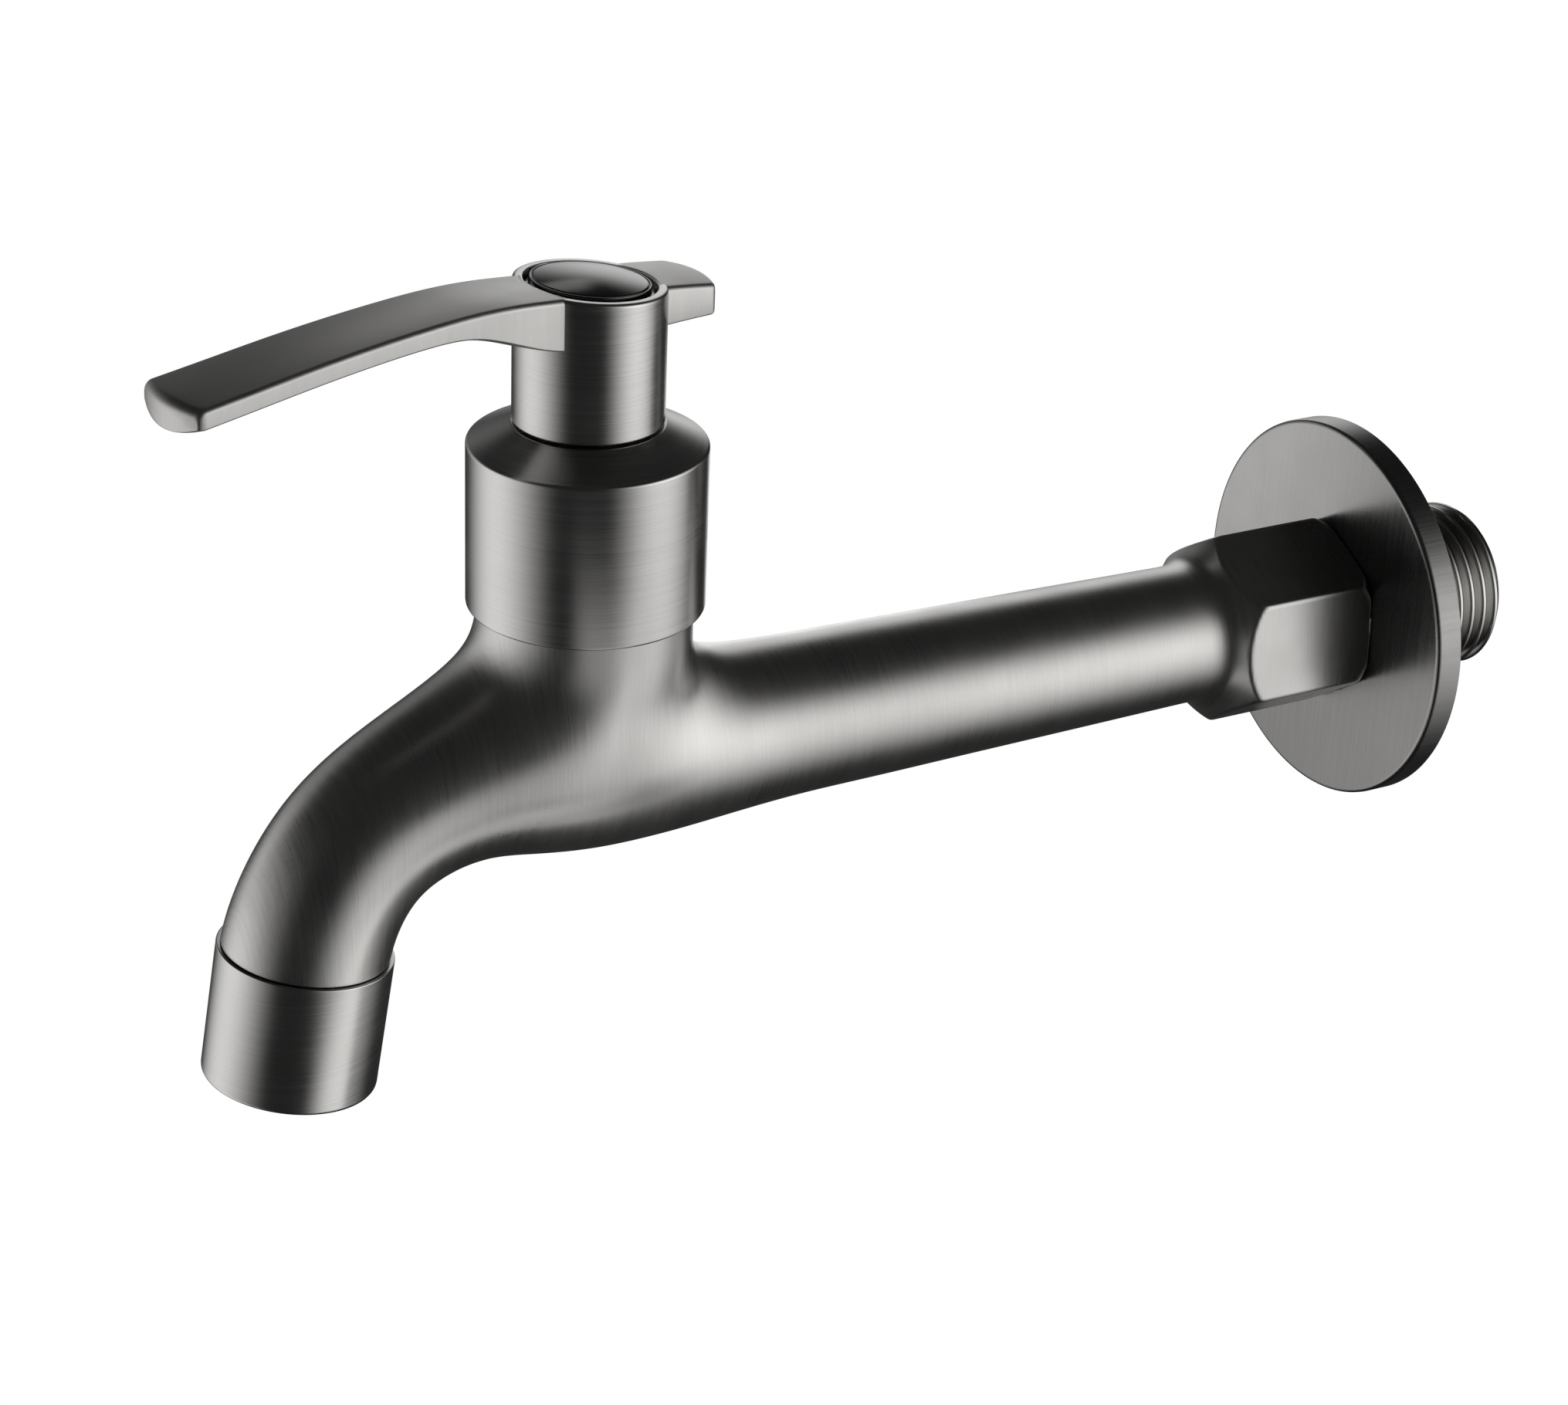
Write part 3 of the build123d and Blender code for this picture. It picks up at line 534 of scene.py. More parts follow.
def at_aerator(points: np.ndarray) -> np.ndarray:
    """Leans points away from the wall about X and carries them to the aerator's top.

    Args:
        points: an array whose last axis is x, y, z, about a vertical axis at zero.

    Returns:
        The points in their place.
    """
    c, s = math.cos(AERATOR_LEAN), math.sin(AERATOR_LEAN)
    lean = np.array([[1.0, 0.0, 0.0], [0.0, c, -s], [0.0, s, c]])
    return points @ lean + AERATOR_TOP


@dataclass
class Casting:
    """The arm, belly, neck, spout, collar and spanner hexagon, one smooth casting."""

    # Distance from the wall, height and radius along the arm and the spout
    stations: tuple = (
        (18.0, 0.4, 8.46), (30.0, 0.4, 8.65), (45.0, 0.4, 8.9), (60.0, 0.4, 9.14), (72.0, 0.4, 9.34),
        (82.0, 0.4, 9.53), (90.0, 0.45, 10.05), (98.0, 0.9, 11.0), (106.0, 1.8, 11.85),
        (114.0, 2.3, 11.6), (121.0, 1.7, 10.55), (128.0, -0.6, 9.55), (134.2, -4.7, 9.2),
        (138.5, -10.6, 9.3), (140.75, -16.75, 9.55), (141.6, -22.3, 9.7),
    )
    # Height, half width, half length and shift away from the wall of the neck's oval sections
    neck: tuple = (
        (-2.0, 10.3, 18.4, 2.0), (1.0, 11.6, 18.0, 2.1), (4.8, 12.2, 16.8, 2.3),
        (7.8, 12.25, 14.8, 1.9), (10.9, 12.15, 13.0, 1.1), (13.0, 12.1, 12.3, 0.5),
        (16.4, 12.05, 12.05, 0.0), (20.0, 12.05, 12.05, 0.0), (24.0, 12.05, 12.05, 0.0),
    )
    # The neck is cut off and rounded below, inside the arm
    neck_foot: float = -1.0
    neck_foot_blend: float = 4.0
    neck_top: float = 20.0
    # The blend's width where neck and arm cross, its growth from the first to the second place
    # forward of the hub, what it keeps where they run side by side, and the heights where it ends
    blend: float = 8.0
    blend_power: float = 0.8
    forward_growth: float = 0.5
    forward_band: tuple = (-10.0, 14.0)
    side_blend: float = 1.6
    least_blend: float = 0.05
    low_band: tuple = (-5.0, 3.0)
    # The collar's shoulder is an oval corner: where it starts, and its reach and height
    shoulder: tuple = (17.2, 7.3)
    shoulder_size: tuple = (6.0, 6.0)
    shoulder_power: float = 1.6
    # The hexagon's heel is cut by a cone: its radius at the end and its growth per millimetre
    heel: tuple = (11.35, 0.6)
    heel_blend: float = 0.5
    # The hexagon: across its flats, its turn, its end's distance from the wall, its edges' ease
    flats: float = 21.3
    hex_turn: float = math.radians(5.7)
    hex_end: float = 3.5
    hex_edge: float = 0.45
    collar_fillet: float = 4.0
    spout_gap: float = 0.15
    # How finely it is sampled: mesh spacing, samples of the centre line and of the neck, the
    # points worked out at once, rounds of moving the points and the step that slopes are taken by
    voxel: float = 0.46
    line_samples: int = 480
    neck_samples: int = 400
    points_at_once: int = 16000
    rounds: int = 4
    slope_step: float = 0.15
    least_slope: float = 0.1
    # The rough solids: their columns, the samples from one ring to the next, the first sample of
    # the neck, which is inside the tube, and the rings of the collar's corner
    rough_columns: int = 64
    tube_step: int = 4
    neck_step: int = 8
    neck_start: int = 48
    corner_rings: int = 12
    # A face with more sides than this closes a cut
    most_sides: int = 8

    def __post_init__(self) -> None:
        """Samples the centre line and the neck's sections once."""
        table = np.array(self.stations) * (-1.0, 1.0, 1.0)
        gaps = np.linalg.norm(np.diff(table[:, :2], axis=0), axis=1)
        knots = np.concatenate([[0.0], np.cumsum(gaps)])
        self.at = np.linspace(0.0, knots[-1], self.line_samples)
        line = cubic_through(knots, table, self.at)
        slope = np.gradient(line, self.at, axis=0)
        self.line, self.radius, self.taper = line[:, :2], line[:, 2], slope[:, 2]
        self.tangent = slope[:, :2] / np.linalg.norm(slope[:, :2], axis=1, keepdims=True)
        sections = np.array(self.neck)
        self.heights = np.linspace(sections[0, 0], sections[-1, 0], self.neck_samples)
        self.ovals = cubic_through(sections[:, 0], sections[:, 1:], self.heights)

    def tube_field(self, points: np.ndarray) -> tuple[np.ndarray, np.ndarray]:
        """Distance from the arm and spout's surface, and the direction away from their centre line.

        The foot on the centre line is the nearest sample, moved along its tangent by the part of
        the offset that lies along it. The distance is the offset's length less the radius there.

        Args:
            points: rows of x, y, z in millimetres.

        Returns:
            The distance of each point, and the direction as a row of length 1.
        """
        distance = np.empty(len(points))
        away = np.empty_like(points)
        for start in range(0, len(points), self.points_at_once):
            part = slice(start, start + self.points_at_once)
            flat = points[part, 1:]
            along = (flat[:, None, 0] - self.line[None, :, 0]) ** 2
            near = (along + (flat[:, None, 1] - self.line[None, :, 1]) ** 2).argmin(axis=1)
            slide = ((flat - self.line[near]) * self.tangent[near]).sum(axis=1)
            foot = self.line[near] + self.tangent[near] * slide[:, None]
            offset = np.column_stack([points[part, 0], flat - foot])
            length = np.linalg.norm(offset, axis=1)
            distance[part] = length - self.radius[near] - self.taper[near] * slide
            away[part] = offset / np.maximum(length, TINY)[:, None]
        return distance, away

    def neck_field(self, points: np.ndarray) -> tuple[np.ndarray, np.ndarray]:
        """Distance from the neck's oval column, and the direction away from its axis.

        With q the length of (x / half width, y / half length), the distance is (q - 1) over the
        gradient of q.

        Args:
            points: rows of x, y, z in millimetres.

        Returns:
            The distance of each point, and the direction as a row of length 1.
        """
        height = np.clip(points[:, 2], self.heights[0], self.heights[-1])
        wide, long, shift = (np.interp(height, self.heights, self.ovals[:, i]) for i in range(3))
        x, y = points[:, 0], points[:, 1] + HUB_REACH + shift
        q = np.sqrt((x / wide) ** 2 + (y / long) ** 2) + TINY
        slope = np.column_stack([x / wide ** 2, y / long ** 2, np.zeros_like(x)]) / q[:, None]
        size = np.linalg.norm(slope, axis=1) + TINY
        return (q - 1.0) / size, slope / size[:, None]

    def collar_field(self, points: np.ndarray) -> np.ndarray:
        """Distance from the collar and the hexagon, the largest of three fields.

        The collar is turned, with a shoulder of the form (a^p + b^p)^(1/p) = 1. The heel's cone is
        the radius less its size there, times the cosine of its slant. The hexagon is the distance
        along the nearest flat's normal, r cos(angle from the flat), less half the flats.

        Args:
            points: rows of x, y, z in millimetres.

        Returns:
            The distance of each point.
        """
        x, z = points[:, 0], points[:, 2]
        r = np.hypot(x, z) + TINY
        p = self.shoulder_power
        a = np.clip(-points[:, 1] - self.shoulder[0], 0.0, None) / self.shoulder_size[0]
        b = np.clip(r - self.shoulder[1], 0.0, None) / self.shoulder_size[1]
        q = (a ** p + b ** p + TINY) ** (1.0 / p)
        long, high = self.shoulder_size
        slope = np.hypot((a / q) ** (p - 1.0) / long, (b / q) ** (p - 1.0) / high)
        turned = (q - 1.0) / np.maximum(slope, self.least_slope)
        heel_r, growth = self.heel
        cone = (r - heel_r - growth * (-points[:, 1] - self.hex_end)) / math.hypot(1.0, growth)
        turned = soft_max(turned, cone, self.heel_blend)
        sector = FULL_TURN / 6.0
        from_flat = (np.arctan2(z, x) - self.hex_turn + sector / 2.0) % sector - sector / 2.0
        return soft_max(turned, r * np.cos(from_flat) - self.flats / 2.0, self.hex_edge)

    def field(self, points: np.ndarray) -> np.ndarray:
        """The casting's surface as the zero of one smooth field.

        The blend between tube and neck is widest where they meet at a right angle and narrow
        where they run side by side, so that the belly doesn't swell.

        Args:
            points: rows of x, y, z in millimetres.

        Returns:
            The field at each point: less than 0 inside, about the distance near the surface.
        """
        tube, tube_way = self.tube_field(points)
        neck, neck_way = self.neck_field(points)
        crossing = np.clip(1.0 - (tube_way * neck_way).sum(axis=1), 0.0, 1.0) ** self.blend_power
        forward = smoothstep(*self.forward_band, -points[:, 1] - HUB_REACH)
        upper = smoothstep(*self.low_band, points[:, 2])
        grown = self.blend * (1.0 + self.forward_growth * forward)
        width = grown * crossing * upper + self.side_blend * upper + self.least_blend
        body = soft_min(tube, soft_max(neck, self.neck_foot - points[:, 2], self.neck_foot_blend), width)
        body = soft_min(body, self.collar_field(points), self.collar_fillet)
        return soft_max(body, self.hex_end + points[:, 1], self.hex_edge)

    def slope(self, points: np.ndarray) -> np.ndarray:
        """The field's gradient, by a step to each side along each axis.

        Args:
            points: rows of x, y, z in millimetres.

        Returns:
            The gradient at each point.
        """
        steps = self.slope_step * np.eye(3)
        sides = [self.field(points + step) - self.field(points - step) for step in steps]
        return np.column_stack(sides) / (2.0 * self.slope_step)

    def rough_shape(self) -> bpy.types.Object:
        """Tube, neck and collar as three crossing solids, merged by a voxel remesh.

        Each is a stack of rings: circles square to the centre line, ovals at their height, and
        the smaller of the collar's radius and the hexagon's, half the flats / cos(angle from it).

        Returns:
            An object with a live remesh modifier.
        """
        angle = np.linspace(0.0, FULL_TURN, self.rough_columns, endpoint=False)
        pick = slice(None, None, self.tube_step)
        side = np.column_stack([-self.tangent[pick, 1], self.tangent[pick, 0]])
        radius = self.radius[pick, None]
        offset = radius[..., None] * np.sin(angle)[None, :, None] * side[:, None, :]
        points = np.concatenate([
            (radius * np.cos(angle))[..., None], self.line[pick, None, :] + offset,
        ], axis=-1)
        shell = Shell()
        shell.stack(points)
        pick = slice(self.neck_start, None, self.neck_step)
        tall = self.heights[pick, None]
        wide, long, shift = (self.ovals[pick, i, None] for i in range(3))
        shell.stack(np.stack([
            wide * np.cos(angle), -HUB_REACH - shift + long * np.sin(angle), tall + 0.0 * angle,
        ], axis=-1))
        bend = np.linspace(0.0, FULL_TURN / 4.0, self.corner_rings)[:, None]
        reach = self.shoulder[0] + self.shoulder_size[0] * np.cos(bend)
        reach = np.vstack([reach, [[self.hex_end]]])
        turned = self.shoulder[1] + self.shoulder_size[1] * np.sin(bend)
        turned = np.vstack([turned, turned[-1:]])
        sector = FULL_TURN / 6.0
        from_flat = (angle - self.hex_turn + sector / 2.0) % sector - sector / 2.0
        radius = np.minimum(turned, self.flats / 2.0 / np.cos(from_flat))
        shell.stack(np.stack([
            radius * np.cos(angle), -reach + 0.0 * angle, radius * np.sin(angle),
        ], axis=-1))
        rough = shell.to_object("casting_rough")
        remesh = rough.modifiers.new("merge", "REMESH")
        remesh.mode = "VOXEL"
        remesh.voxel_size = self.voxel * MM
        return rough

    def cut_end(self, work: bmesh.types.BMesh, place: np.ndarray, way: np.ndarray) -> None:
        """Cuts the mesh off square beyond a plane and closes the cut.

        Args:
            work: the mesh.
            place: a point of the plane, in millimetres.
            way: the plane's normal, towards what is cut off.
        """
        everything = work.verts[:] + work.edges[:] + work.faces[:]
        bmesh.ops.bisect_plane(
            work, geom=everything, dist=1e-7, plane_co=Vector(place * MM), plane_no=Vector(way),
            clear_outer=True,
        )
        edges = [edge for edge in work.edges if edge.is_boundary]
        bmesh.ops.contextual_create(work, geom=edges)

    def make(self) -> bpy.types.Object:
        """Remeshes, moves each point onto the field's zero, trims the ends and sets the shading.

        Returns:
            The finished casting.
        """
        rough = self.rough_shape()
        shaped = rough.evaluated_get(bpy.context.evaluated_depsgraph_get()).to_mesh()
        points = np.empty(len(shaped.vertices) * 3)
        shaped.vertices.foreach_get("co", points)
        points = points.reshape(-1, 3) / MM
        for _ in range(self.rounds):
            slope = self.slope(points)
            points -= (self.field(points) / (slope ** 2).sum(axis=1))[:, None] * slope
        shaped.vertices.foreach_set("co", (points * MM).ravel())
        work = bmesh.new()
        work.from_mesh(shaped)
        rough.to_mesh_clear()
        bpy.data.objects.remove(rough)
        lean = np.array([0.0, -math.sin(AERATOR_LEAN), -math.cos(AERATOR_LEAN)])
        self.cut_end(work, at_hub(np.array([0.0, 0.0, self.neck_top])), np.array([0.0, 0.0, 1.0]))
        self.cut_end(work, AERATOR_TOP - lean * self.spout_gap, lean)
        mesh = bpy.data.meshes.new("tap_casting")
        work.to_mesh(mesh)
        work.free()
        mesh.shade_smooth()
        self.shade(mesh)
        piece = bpy.data.objects.new("tap_casting", mesh)
        bpy.context.scene.collection.objects.link(piece)
        return piece

    def shade(self, mesh: bpy.types.Mesh) -> None:
        """Sets each corner's normal: the field's gradient, or the face's own on a cut end.

        Args:
            mesh: the casting's mesh.
        """
        points = np.empty(len(mesh.vertices) * 3)
        mesh.vertices.foreach_get("co", points)
        slope = self.slope(points.reshape(-1, 3) / MM)
        slope /= np.linalg.norm(slope, axis=1, keepdims=True)
        corner_point = np.empty(len(mesh.loops), dtype=np.int32)
        mesh.loops.foreach_get("vertex_index", corner_point)
        normals = slope[corner_point]
        for face in mesh.polygons:
            if face.loop_total > self.most_sides:
                normals[face.loop_start:face.loop_start + face.loop_total] = np.array(face.normal)
        mesh.normals_split_custom_set(normals.tolist())

    def build(self) -> None:
        """Builds the casting and dresses it."""
        finish_piece(self.make(), CAST, Body.TAP, "body")


@dataclass
class WallThread:
    """The pipe thread that screws into the wall, with the water inlet."""

    start: float = -3.5
    thread_r: float = 10.478
    pitch: float = 1.814
    thread_depth: float = 1.16
    # The zigzag's slope and foot, before it is cut off at 0 and 1, and how far those cuts are eased
    zigzag: tuple = (1.8, -0.3)
    crest_ease: float = 0.35
    relief: float = 9.78
    relief_band: tuple = (-0.4, 0.6)
    length: float = 17.6
    # The cone at the end: its length, its slope, how far it starts outside the thread, its ease
    lead_in: float = 1.1
    lead_slope: float = 1.1
    lead_stand: float = 0.1
    lead_ease: float = 0.3
    end_r: float = 8.6
    bore_r: float = 6.5
    bore_chamfer: float = 0.3
    bore_depth: float = 28.0
    rows: int = 300
    columns: int = 180

    def make(self) -> bpy.types.Object:
        """The right-handed pipe thread with its relief, lead-in and the water inlet's bore.

        The depth at a place y and an angle a follows the phase y / pitch + a / full turn: a zigzag
        with rounded crests and roots. It fades in from the relief and a cone trims it at the end.

        Returns:
            The finished thread.
        """
        place = np.linspace(self.start, self.length, self.rows)[:, None]
        angle = np.linspace(0.0, FULL_TURN, self.columns, endpoint=False)[None, :]
        phase = (place / self.pitch + angle / FULL_TURN) % 1.0
        steepness, foot = self.zigzag
        zigzag = steepness * np.abs(2.0 * phase - 1.0) + foot
        ridge = soft_max(soft_min(zigzag, 1.0, self.crest_ease), 0.0 * zigzag, self.crest_ease)
        cut = self.thread_r - self.thread_depth * (1.0 - ridge)
        radius = self.relief + (cut - self.relief) * smoothstep(*self.relief_band, place)
        trim = self.lead_slope * np.clip(place - self.length + self.lead_in, 0.0, None)
        cone = self.thread_r + self.lead_stand - trim
        radius = soft_min(radius, cone + 0.0 * angle, self.lead_ease)
        end = self.length
        inner = np.array([
            [self.end_r, end], [self.bore_r + self.bore_chamfer, end],
            [self.bore_r, end - self.bore_chamfer], [self.bore_r, end - self.bore_depth],
        ])
        radius = np.vstack([radius, inner[:, :1] + 0.0 * angle])
        place = np.vstack([place, inner[:, 1:]])
        points = np.stack([radius * np.cos(angle), place + 0.0 * angle, radius * np.sin(angle)], axis=-1)
        shell = Shell()
        shell.stack(points)
        return shell.to_object("wall_thread")

    def build(self) -> None:
        """Builds the thread and dresses it in its coarser cut finish."""
        finish_piece(self.make(), THREADED, Body.TAP, "body")


@dataclass
class Covers:
    """The turned covers: flange, bonnet, aerator housing and the spout's tip inside it."""

    # Radius, height along the piece's own axis, and ease of each corner of the outlines
    flange_corners: tuple = (
        (10.63, -3.5, 0.1), (24.0, -3.5, 0.6), (24.0, 0.0, 0.12), (22.4, 0.0, 0.12),
        (22.4, -2.0, 0.3), (12.63, -2.0, 0.3), (12.63, 0.0, 0.12), (10.63, 0.0, 0.1),
    )
    bonnet_corners: tuple = (
        (11.65, 20.0, 0.1), (13.4, 20.0, 0.34), (13.4, 39.1, 0.3), (8.5, 41.55, 0.15),
        (7.25, 41.55, 0.1), (7.25, 36.55, 0.1), (11.65, 36.55, 0.3),
    )
    aerator_corners: tuple = (
        (8.85, 0.0, 0.1), (10.05, 0.0, 0.16), (10.0, -15.9, 0.5), (7.95, -15.9, 0.15),
        (7.95, -14.8, 0.1), (8.85, -14.8, 0.1),
    )
    tip_corners: tuple = ((6.8, 0.6, 0.1), (8.8, 0.6, 0.1), (8.8, -6.4, 0.2), (6.8, -6.4, 0.2))
    columns: int = 256
    tip_columns: int = 128

    def flange(self) -> bpy.types.Object:
        """The wall flange, hollow behind, with an eased edge round its face."""
        return lathe("wall_flange_plate", rounded_profile(self.flange_corners), self.columns, at_wall)

    def bonnet(self) -> bpy.types.Object:
        """The sleeve over the cartridge, with its sloping shoulder."""
        return lathe("bonnet_cover", rounded_profile(self.bonnet_corners), self.columns, at_hub)

    def aerator(self) -> bpy.types.Object:
        """The aerator's housing, with eased rims and the lip that holds the insert."""
        return lathe("aerator_ring", rounded_profile(self.aerator_corners), self.columns, at_aerator)

    def spout_tip(self) -> bpy.types.Object:
        """The spout's threaded end inside the aerator housing, seen only as the seam above it."""
        return lathe("spout_tip", rounded_profile(self.tip_corners), self.tip_columns, at_aerator)

    def build(self) -> None:
        """Builds the covers from the wall outwards and dresses them."""
        finish_piece(self.flange(), PLATE, Body.TAP, "wall_flange")
        finish_piece(self.bonnet(), TURNED, Body.TAP, "bonnet_sleeve")
        finish_piece(self.aerator(), TURNED, Body.TAP, "aerator_housing")
        finish_piece(self.spout_tip(), TURNED, Body.TAP, "body")


@dataclass
class Grip:
    """The handle: hub with a sloping top, lever and rear stub, and the cap in the hub."""

    hub_r: float = 8.4
    hub_low: float = 41.85
    hub_top: float = 57.55
    hub_columns: int = 256
    # The top slopes down towards the front, and the slope sets in between two heights
    top_slope: float = math.radians(5.0)
    slope_band: tuple = (52.0, 54.5)
    # Inside the hub: the button's seat, the screw's counterbore and hole, the splined socket
    seat_r: float = 7.25
    seat_drop: float = 2.6
    counterbore_r: float = 5.25
    counterbore_floor: float = 51.8
    screw_r: float = 2.05
    socket_r: float = 4.0
    socket_top: float = 50.0
    skirt_r: float = 6.9
    skirt_top: float = 43.6
    # Distance from the hub's axis, height of the top edges, height of the side
    stations: tuple = (
        (-15.5, 55.7, 3.2), (-7.5, 56.85, 4.3), (0.0, 57.55, 5.3), (7.0, 58.2, 5.8), (12.5, 58.7, 4.5),
        (18.0, 58.85, 2.8), (24.0, 58.6, 2.25), (31.0, 58.05, 2.2), (38.0, 57.3, 2.2), (45.0, 56.4, 2.2),
        (53.4, 55.35, 2.2),
    )
    root_width: float = 9.6
    tip_width: float = 10.8
    # The lever's width grows and its crown rises over these distances
    widen_from: float = 7.0
    widen_over: float = 46.4
    rise_over: float = 18.0
    # Each bar's end: its distance, its bulge, the ease of its upper edge and of its other edges
    lever: tuple = (52.6, 1.1, 1.0, 0.3)
    stub: tuple = (-14.7, 1.05, 0.75, 0.65)
    start_r: float = 7.5
    # Rows along a bar, points across its top with its two sides, points in an eased edge, and rows
    # in the end's eased edge with the one before it
    rows: int = 60
    lanes: int = 17
    edge_points: int = 5
    end_rows: int = 7
    crown: float = 0.35
    belly: float = 0.95
    root_belly: float = 0.4
    top_edge: float = 0.6
    low_edge: float = 0.25
    button_r: float = 6.6
    button_stand: float = 0.2
    dome_rise: float = 0.95
    bead: float = 0.2
    groove: float = 0.14
    groove_width: float = 0.08
    button_rings: int = 28
    button_columns: int = 192
    # The button's foot below the bead: its radius, and its upper and lower height
    foot_r: float = 7.05
    foot_top: float = -0.7
    foot_low: float = -2.55

    def place(self, points: np.ndarray) -> np.ndarray:
        """Turns the handle's points to where it rests and carries them to the hub's axis."""
        return turn_z(points, LEVER_YAW) + HUB_AXIS

    def slanted(self, points: np.ndarray) -> np.ndarray:
        """Carries points from a level top at height 0 to the hub's sloping top.

        Args:
            points: an array whose last axis is x, y, z.

        Returns:
            The points in their place.
        """
        c, s = math.cos(self.top_slope), math.sin(self.top_slope)
        turned = points @ np.array([[1.0, 0.0, 0.0], [0.0, c, -s], [0.0, s, c]])
        return self.place(turned + np.array([0.0, 0.0, self.hub_top]))

    def sheared(self, points: np.ndarray) -> np.ndarray:
        """Lifts the hub's upper part by slope times -y, so that its top slopes, and places it.

        Args:
            points: an array whose last axis is x, y, z.

        Returns:
            The points in their place.
        """
        lift = smoothstep(*self.slope_band, points[..., 2:]) * math.tan(self.top_slope)
        height = points[..., 2:] - lift * points[..., 1:2]
        return self.place(np.concatenate([points[..., :2], height], axis=-1))

    def hub(self) -> bpy.types.Object:
        """The hub, turned and then sheared, with its seat, counterbore, screw hole and socket.

        Returns:
            The finished hub.
        """
        top, low, seat = self.hub_top, self.hub_low, self.hub_top - self.seat_drop
        corners = [
            (self.skirt_r, low, 0.1), (self.hub_r, low, 0.28), (self.hub_r, top, 0.42),
            (self.seat_r, top, 0.2), (self.seat_r, seat, 0.1), (self.counterbore_r, seat, 0.1),
            (self.counterbore_r, self.counterbore_floor, 0.1), (self.screw_r, self.counterbore_floor, 0.1),
            (self.screw_r, self.socket_top, 0.1), (self.socket_r, self.socket_top, 0.1),
            (self.socket_r, self.skirt_top, 0.1), (self.skirt_r, self.skirt_top, 0.1),
        ]
        return lathe("handle_hub", rounded_profile(corners), self.hub_columns, self.sheared)

    def outline(self) -> dict[str, np.ndarray]:
        """A section's points as shares of its size, once round from the top's left.

        Returns:
            lane: share of the half width; out and up: shares of the corner's radius, sideways and
            upwards; low: 1 on the underside; bow: share of the crown or of the belly.
        """
        lane = np.linspace(-1.0, 1.0, self.lanes)[1:-1]
        turn = np.linspace(0.0, FULL_TURN / 4.0, self.edge_points)
        one, none, flat = np.ones_like(turn), np.zeros_like(turn), np.zeros_like(lane)
        top = (lane, flat, flat, flat, 1.0 - lane ** 2)
        right_top = (one, np.sin(turn), np.cos(turn) - 1.0, none, none)
        right_low = (one, np.cos(turn), 1.0 - np.sin(turn), one, none)
        low = (-lane, flat, flat, flat + 1.0, 1.0 - lane ** 2)
        left_low = tuple(part[::-1] * sign for part, sign in zip(right_low, (-1, -1, 1, 1, 1)))
        left_top = tuple(part[::-1] * sign for part, sign in zip(right_top, (-1, -1, 1, 1, 1)))
        parts = zip(top, right_top, right_low, low, left_low, left_top)
        return dict(zip(("lane", "out", "up", "low", "bow"), (np.concatenate(part) for part in parts)))

    def bar(self, shell: Shell, end: float, bulge: float, top_ease: float, side_ease: float) -> None:
        """Lays sections from the hub's rim to an eased end whose middle bulges outwards.

        Each point runs from the circle start_r, at sqrt(start_r^2 - x^2), to end - bulge (x / half
        width)^2. The last rows sink by ease (1 - cos t) while they advance by ease sin t.

        Args:
            shell: what the bar is added to.
            end: distance of the end from the hub's axis, negative for the stub.
            bulge: how far the end's middle stands out beyond its sides.
            top_ease: radius of the end's upper edge.
            side_ease: radius of the end's other edges.
        """
        way, length = math.copysign(1.0, end), abs(end)
        spot = self.outline()
        turn = np.linspace(0.0, FULL_TURN / 4.0, self.end_rows)[1:, None]
        share = np.vstack([np.linspace(0.0, 1.0, self.rows)[:, None], np.ones_like(turn)])
        back = np.vstack([np.full((self.rows, 1), top_ease), top_ease * (1.0 - np.sin(turn))])
        sink = np.vstack([np.zeros((self.rows, 1)), 1.0 - np.cos(turn)])
        middle = way * (self.start_r + (length - self.start_r) * share)
        widen = np.clip((middle - self.widen_from) / self.widen_over, 0.0, 1.0)
        half = (self.root_width + (self.tip_width - self.root_width) * widen) / 2.0
        edge = np.where(spot["low"] > 0.0, self.low_edge, self.top_edge)
        across = spot["lane"] * (half - edge) + spot["out"] * edge
        start = np.sqrt(self.start_r ** 2 - across ** 2)
        finish = length - bulge * (across / half) ** 2
        reach = start + (finish - back - start) * share
        across = across * (1.0 - side_ease * sink / half)
        table = np.array(self.stations)
        sizes = cubic_through(table[:, 0], table[:, 1:], way * reach.ravel())
        top, side = sizes[:, 0].reshape(reach.shape), sizes[:, 1].reshape(reach.shape)
        rise = np.clip(reach / self.rise_over, 0.0, 1.0)
        belly = self.root_belly + (self.belly - self.root_belly) * rise
        upper = top + self.crown * rise * spot["bow"] - top_ease * sink
        lower = top - side - belly * spot["bow"] + side_ease * sink
        height = np.where(spot["low"] > 0.0, lower, upper) + spot["up"] * edge
        shrink = np.linspace(0.8, 0.2, 4)[:, None]
        centre = (height[-1].max() + height[-1].min()) / 2.0
        inner = across[-1] * shrink
        face = np.stack([
            inner,
            -way * (length - bulge * (inner / half[-1]) ** 2),
            centre + (height[-1] - centre) * shrink,
        ], axis=-1)
        points = np.concatenate([np.stack([across, -way * reach, height], axis=-1), face])
        numbers = shell.grid(self.place(points))
        shell.fan(numbers[0], self.place(points[0].mean(axis=0)), flip=True)
        shell.fan(numbers[-1], self.place(np.array([0.0, -way * length, centre])))

    def bars(self) -> bpy.types.Object:
        """The lever to the front and the stub to the back, both starting inside the hub.

        Returns:
            The finished piece.
        """
        shell = Shell()
        self.bar(shell, *self.lever)
        self.bar(shell, *self.stub)
        piece = shell.to_object("handle_lever_and_stub")
        flat_faces_lead(piece)
        return piece

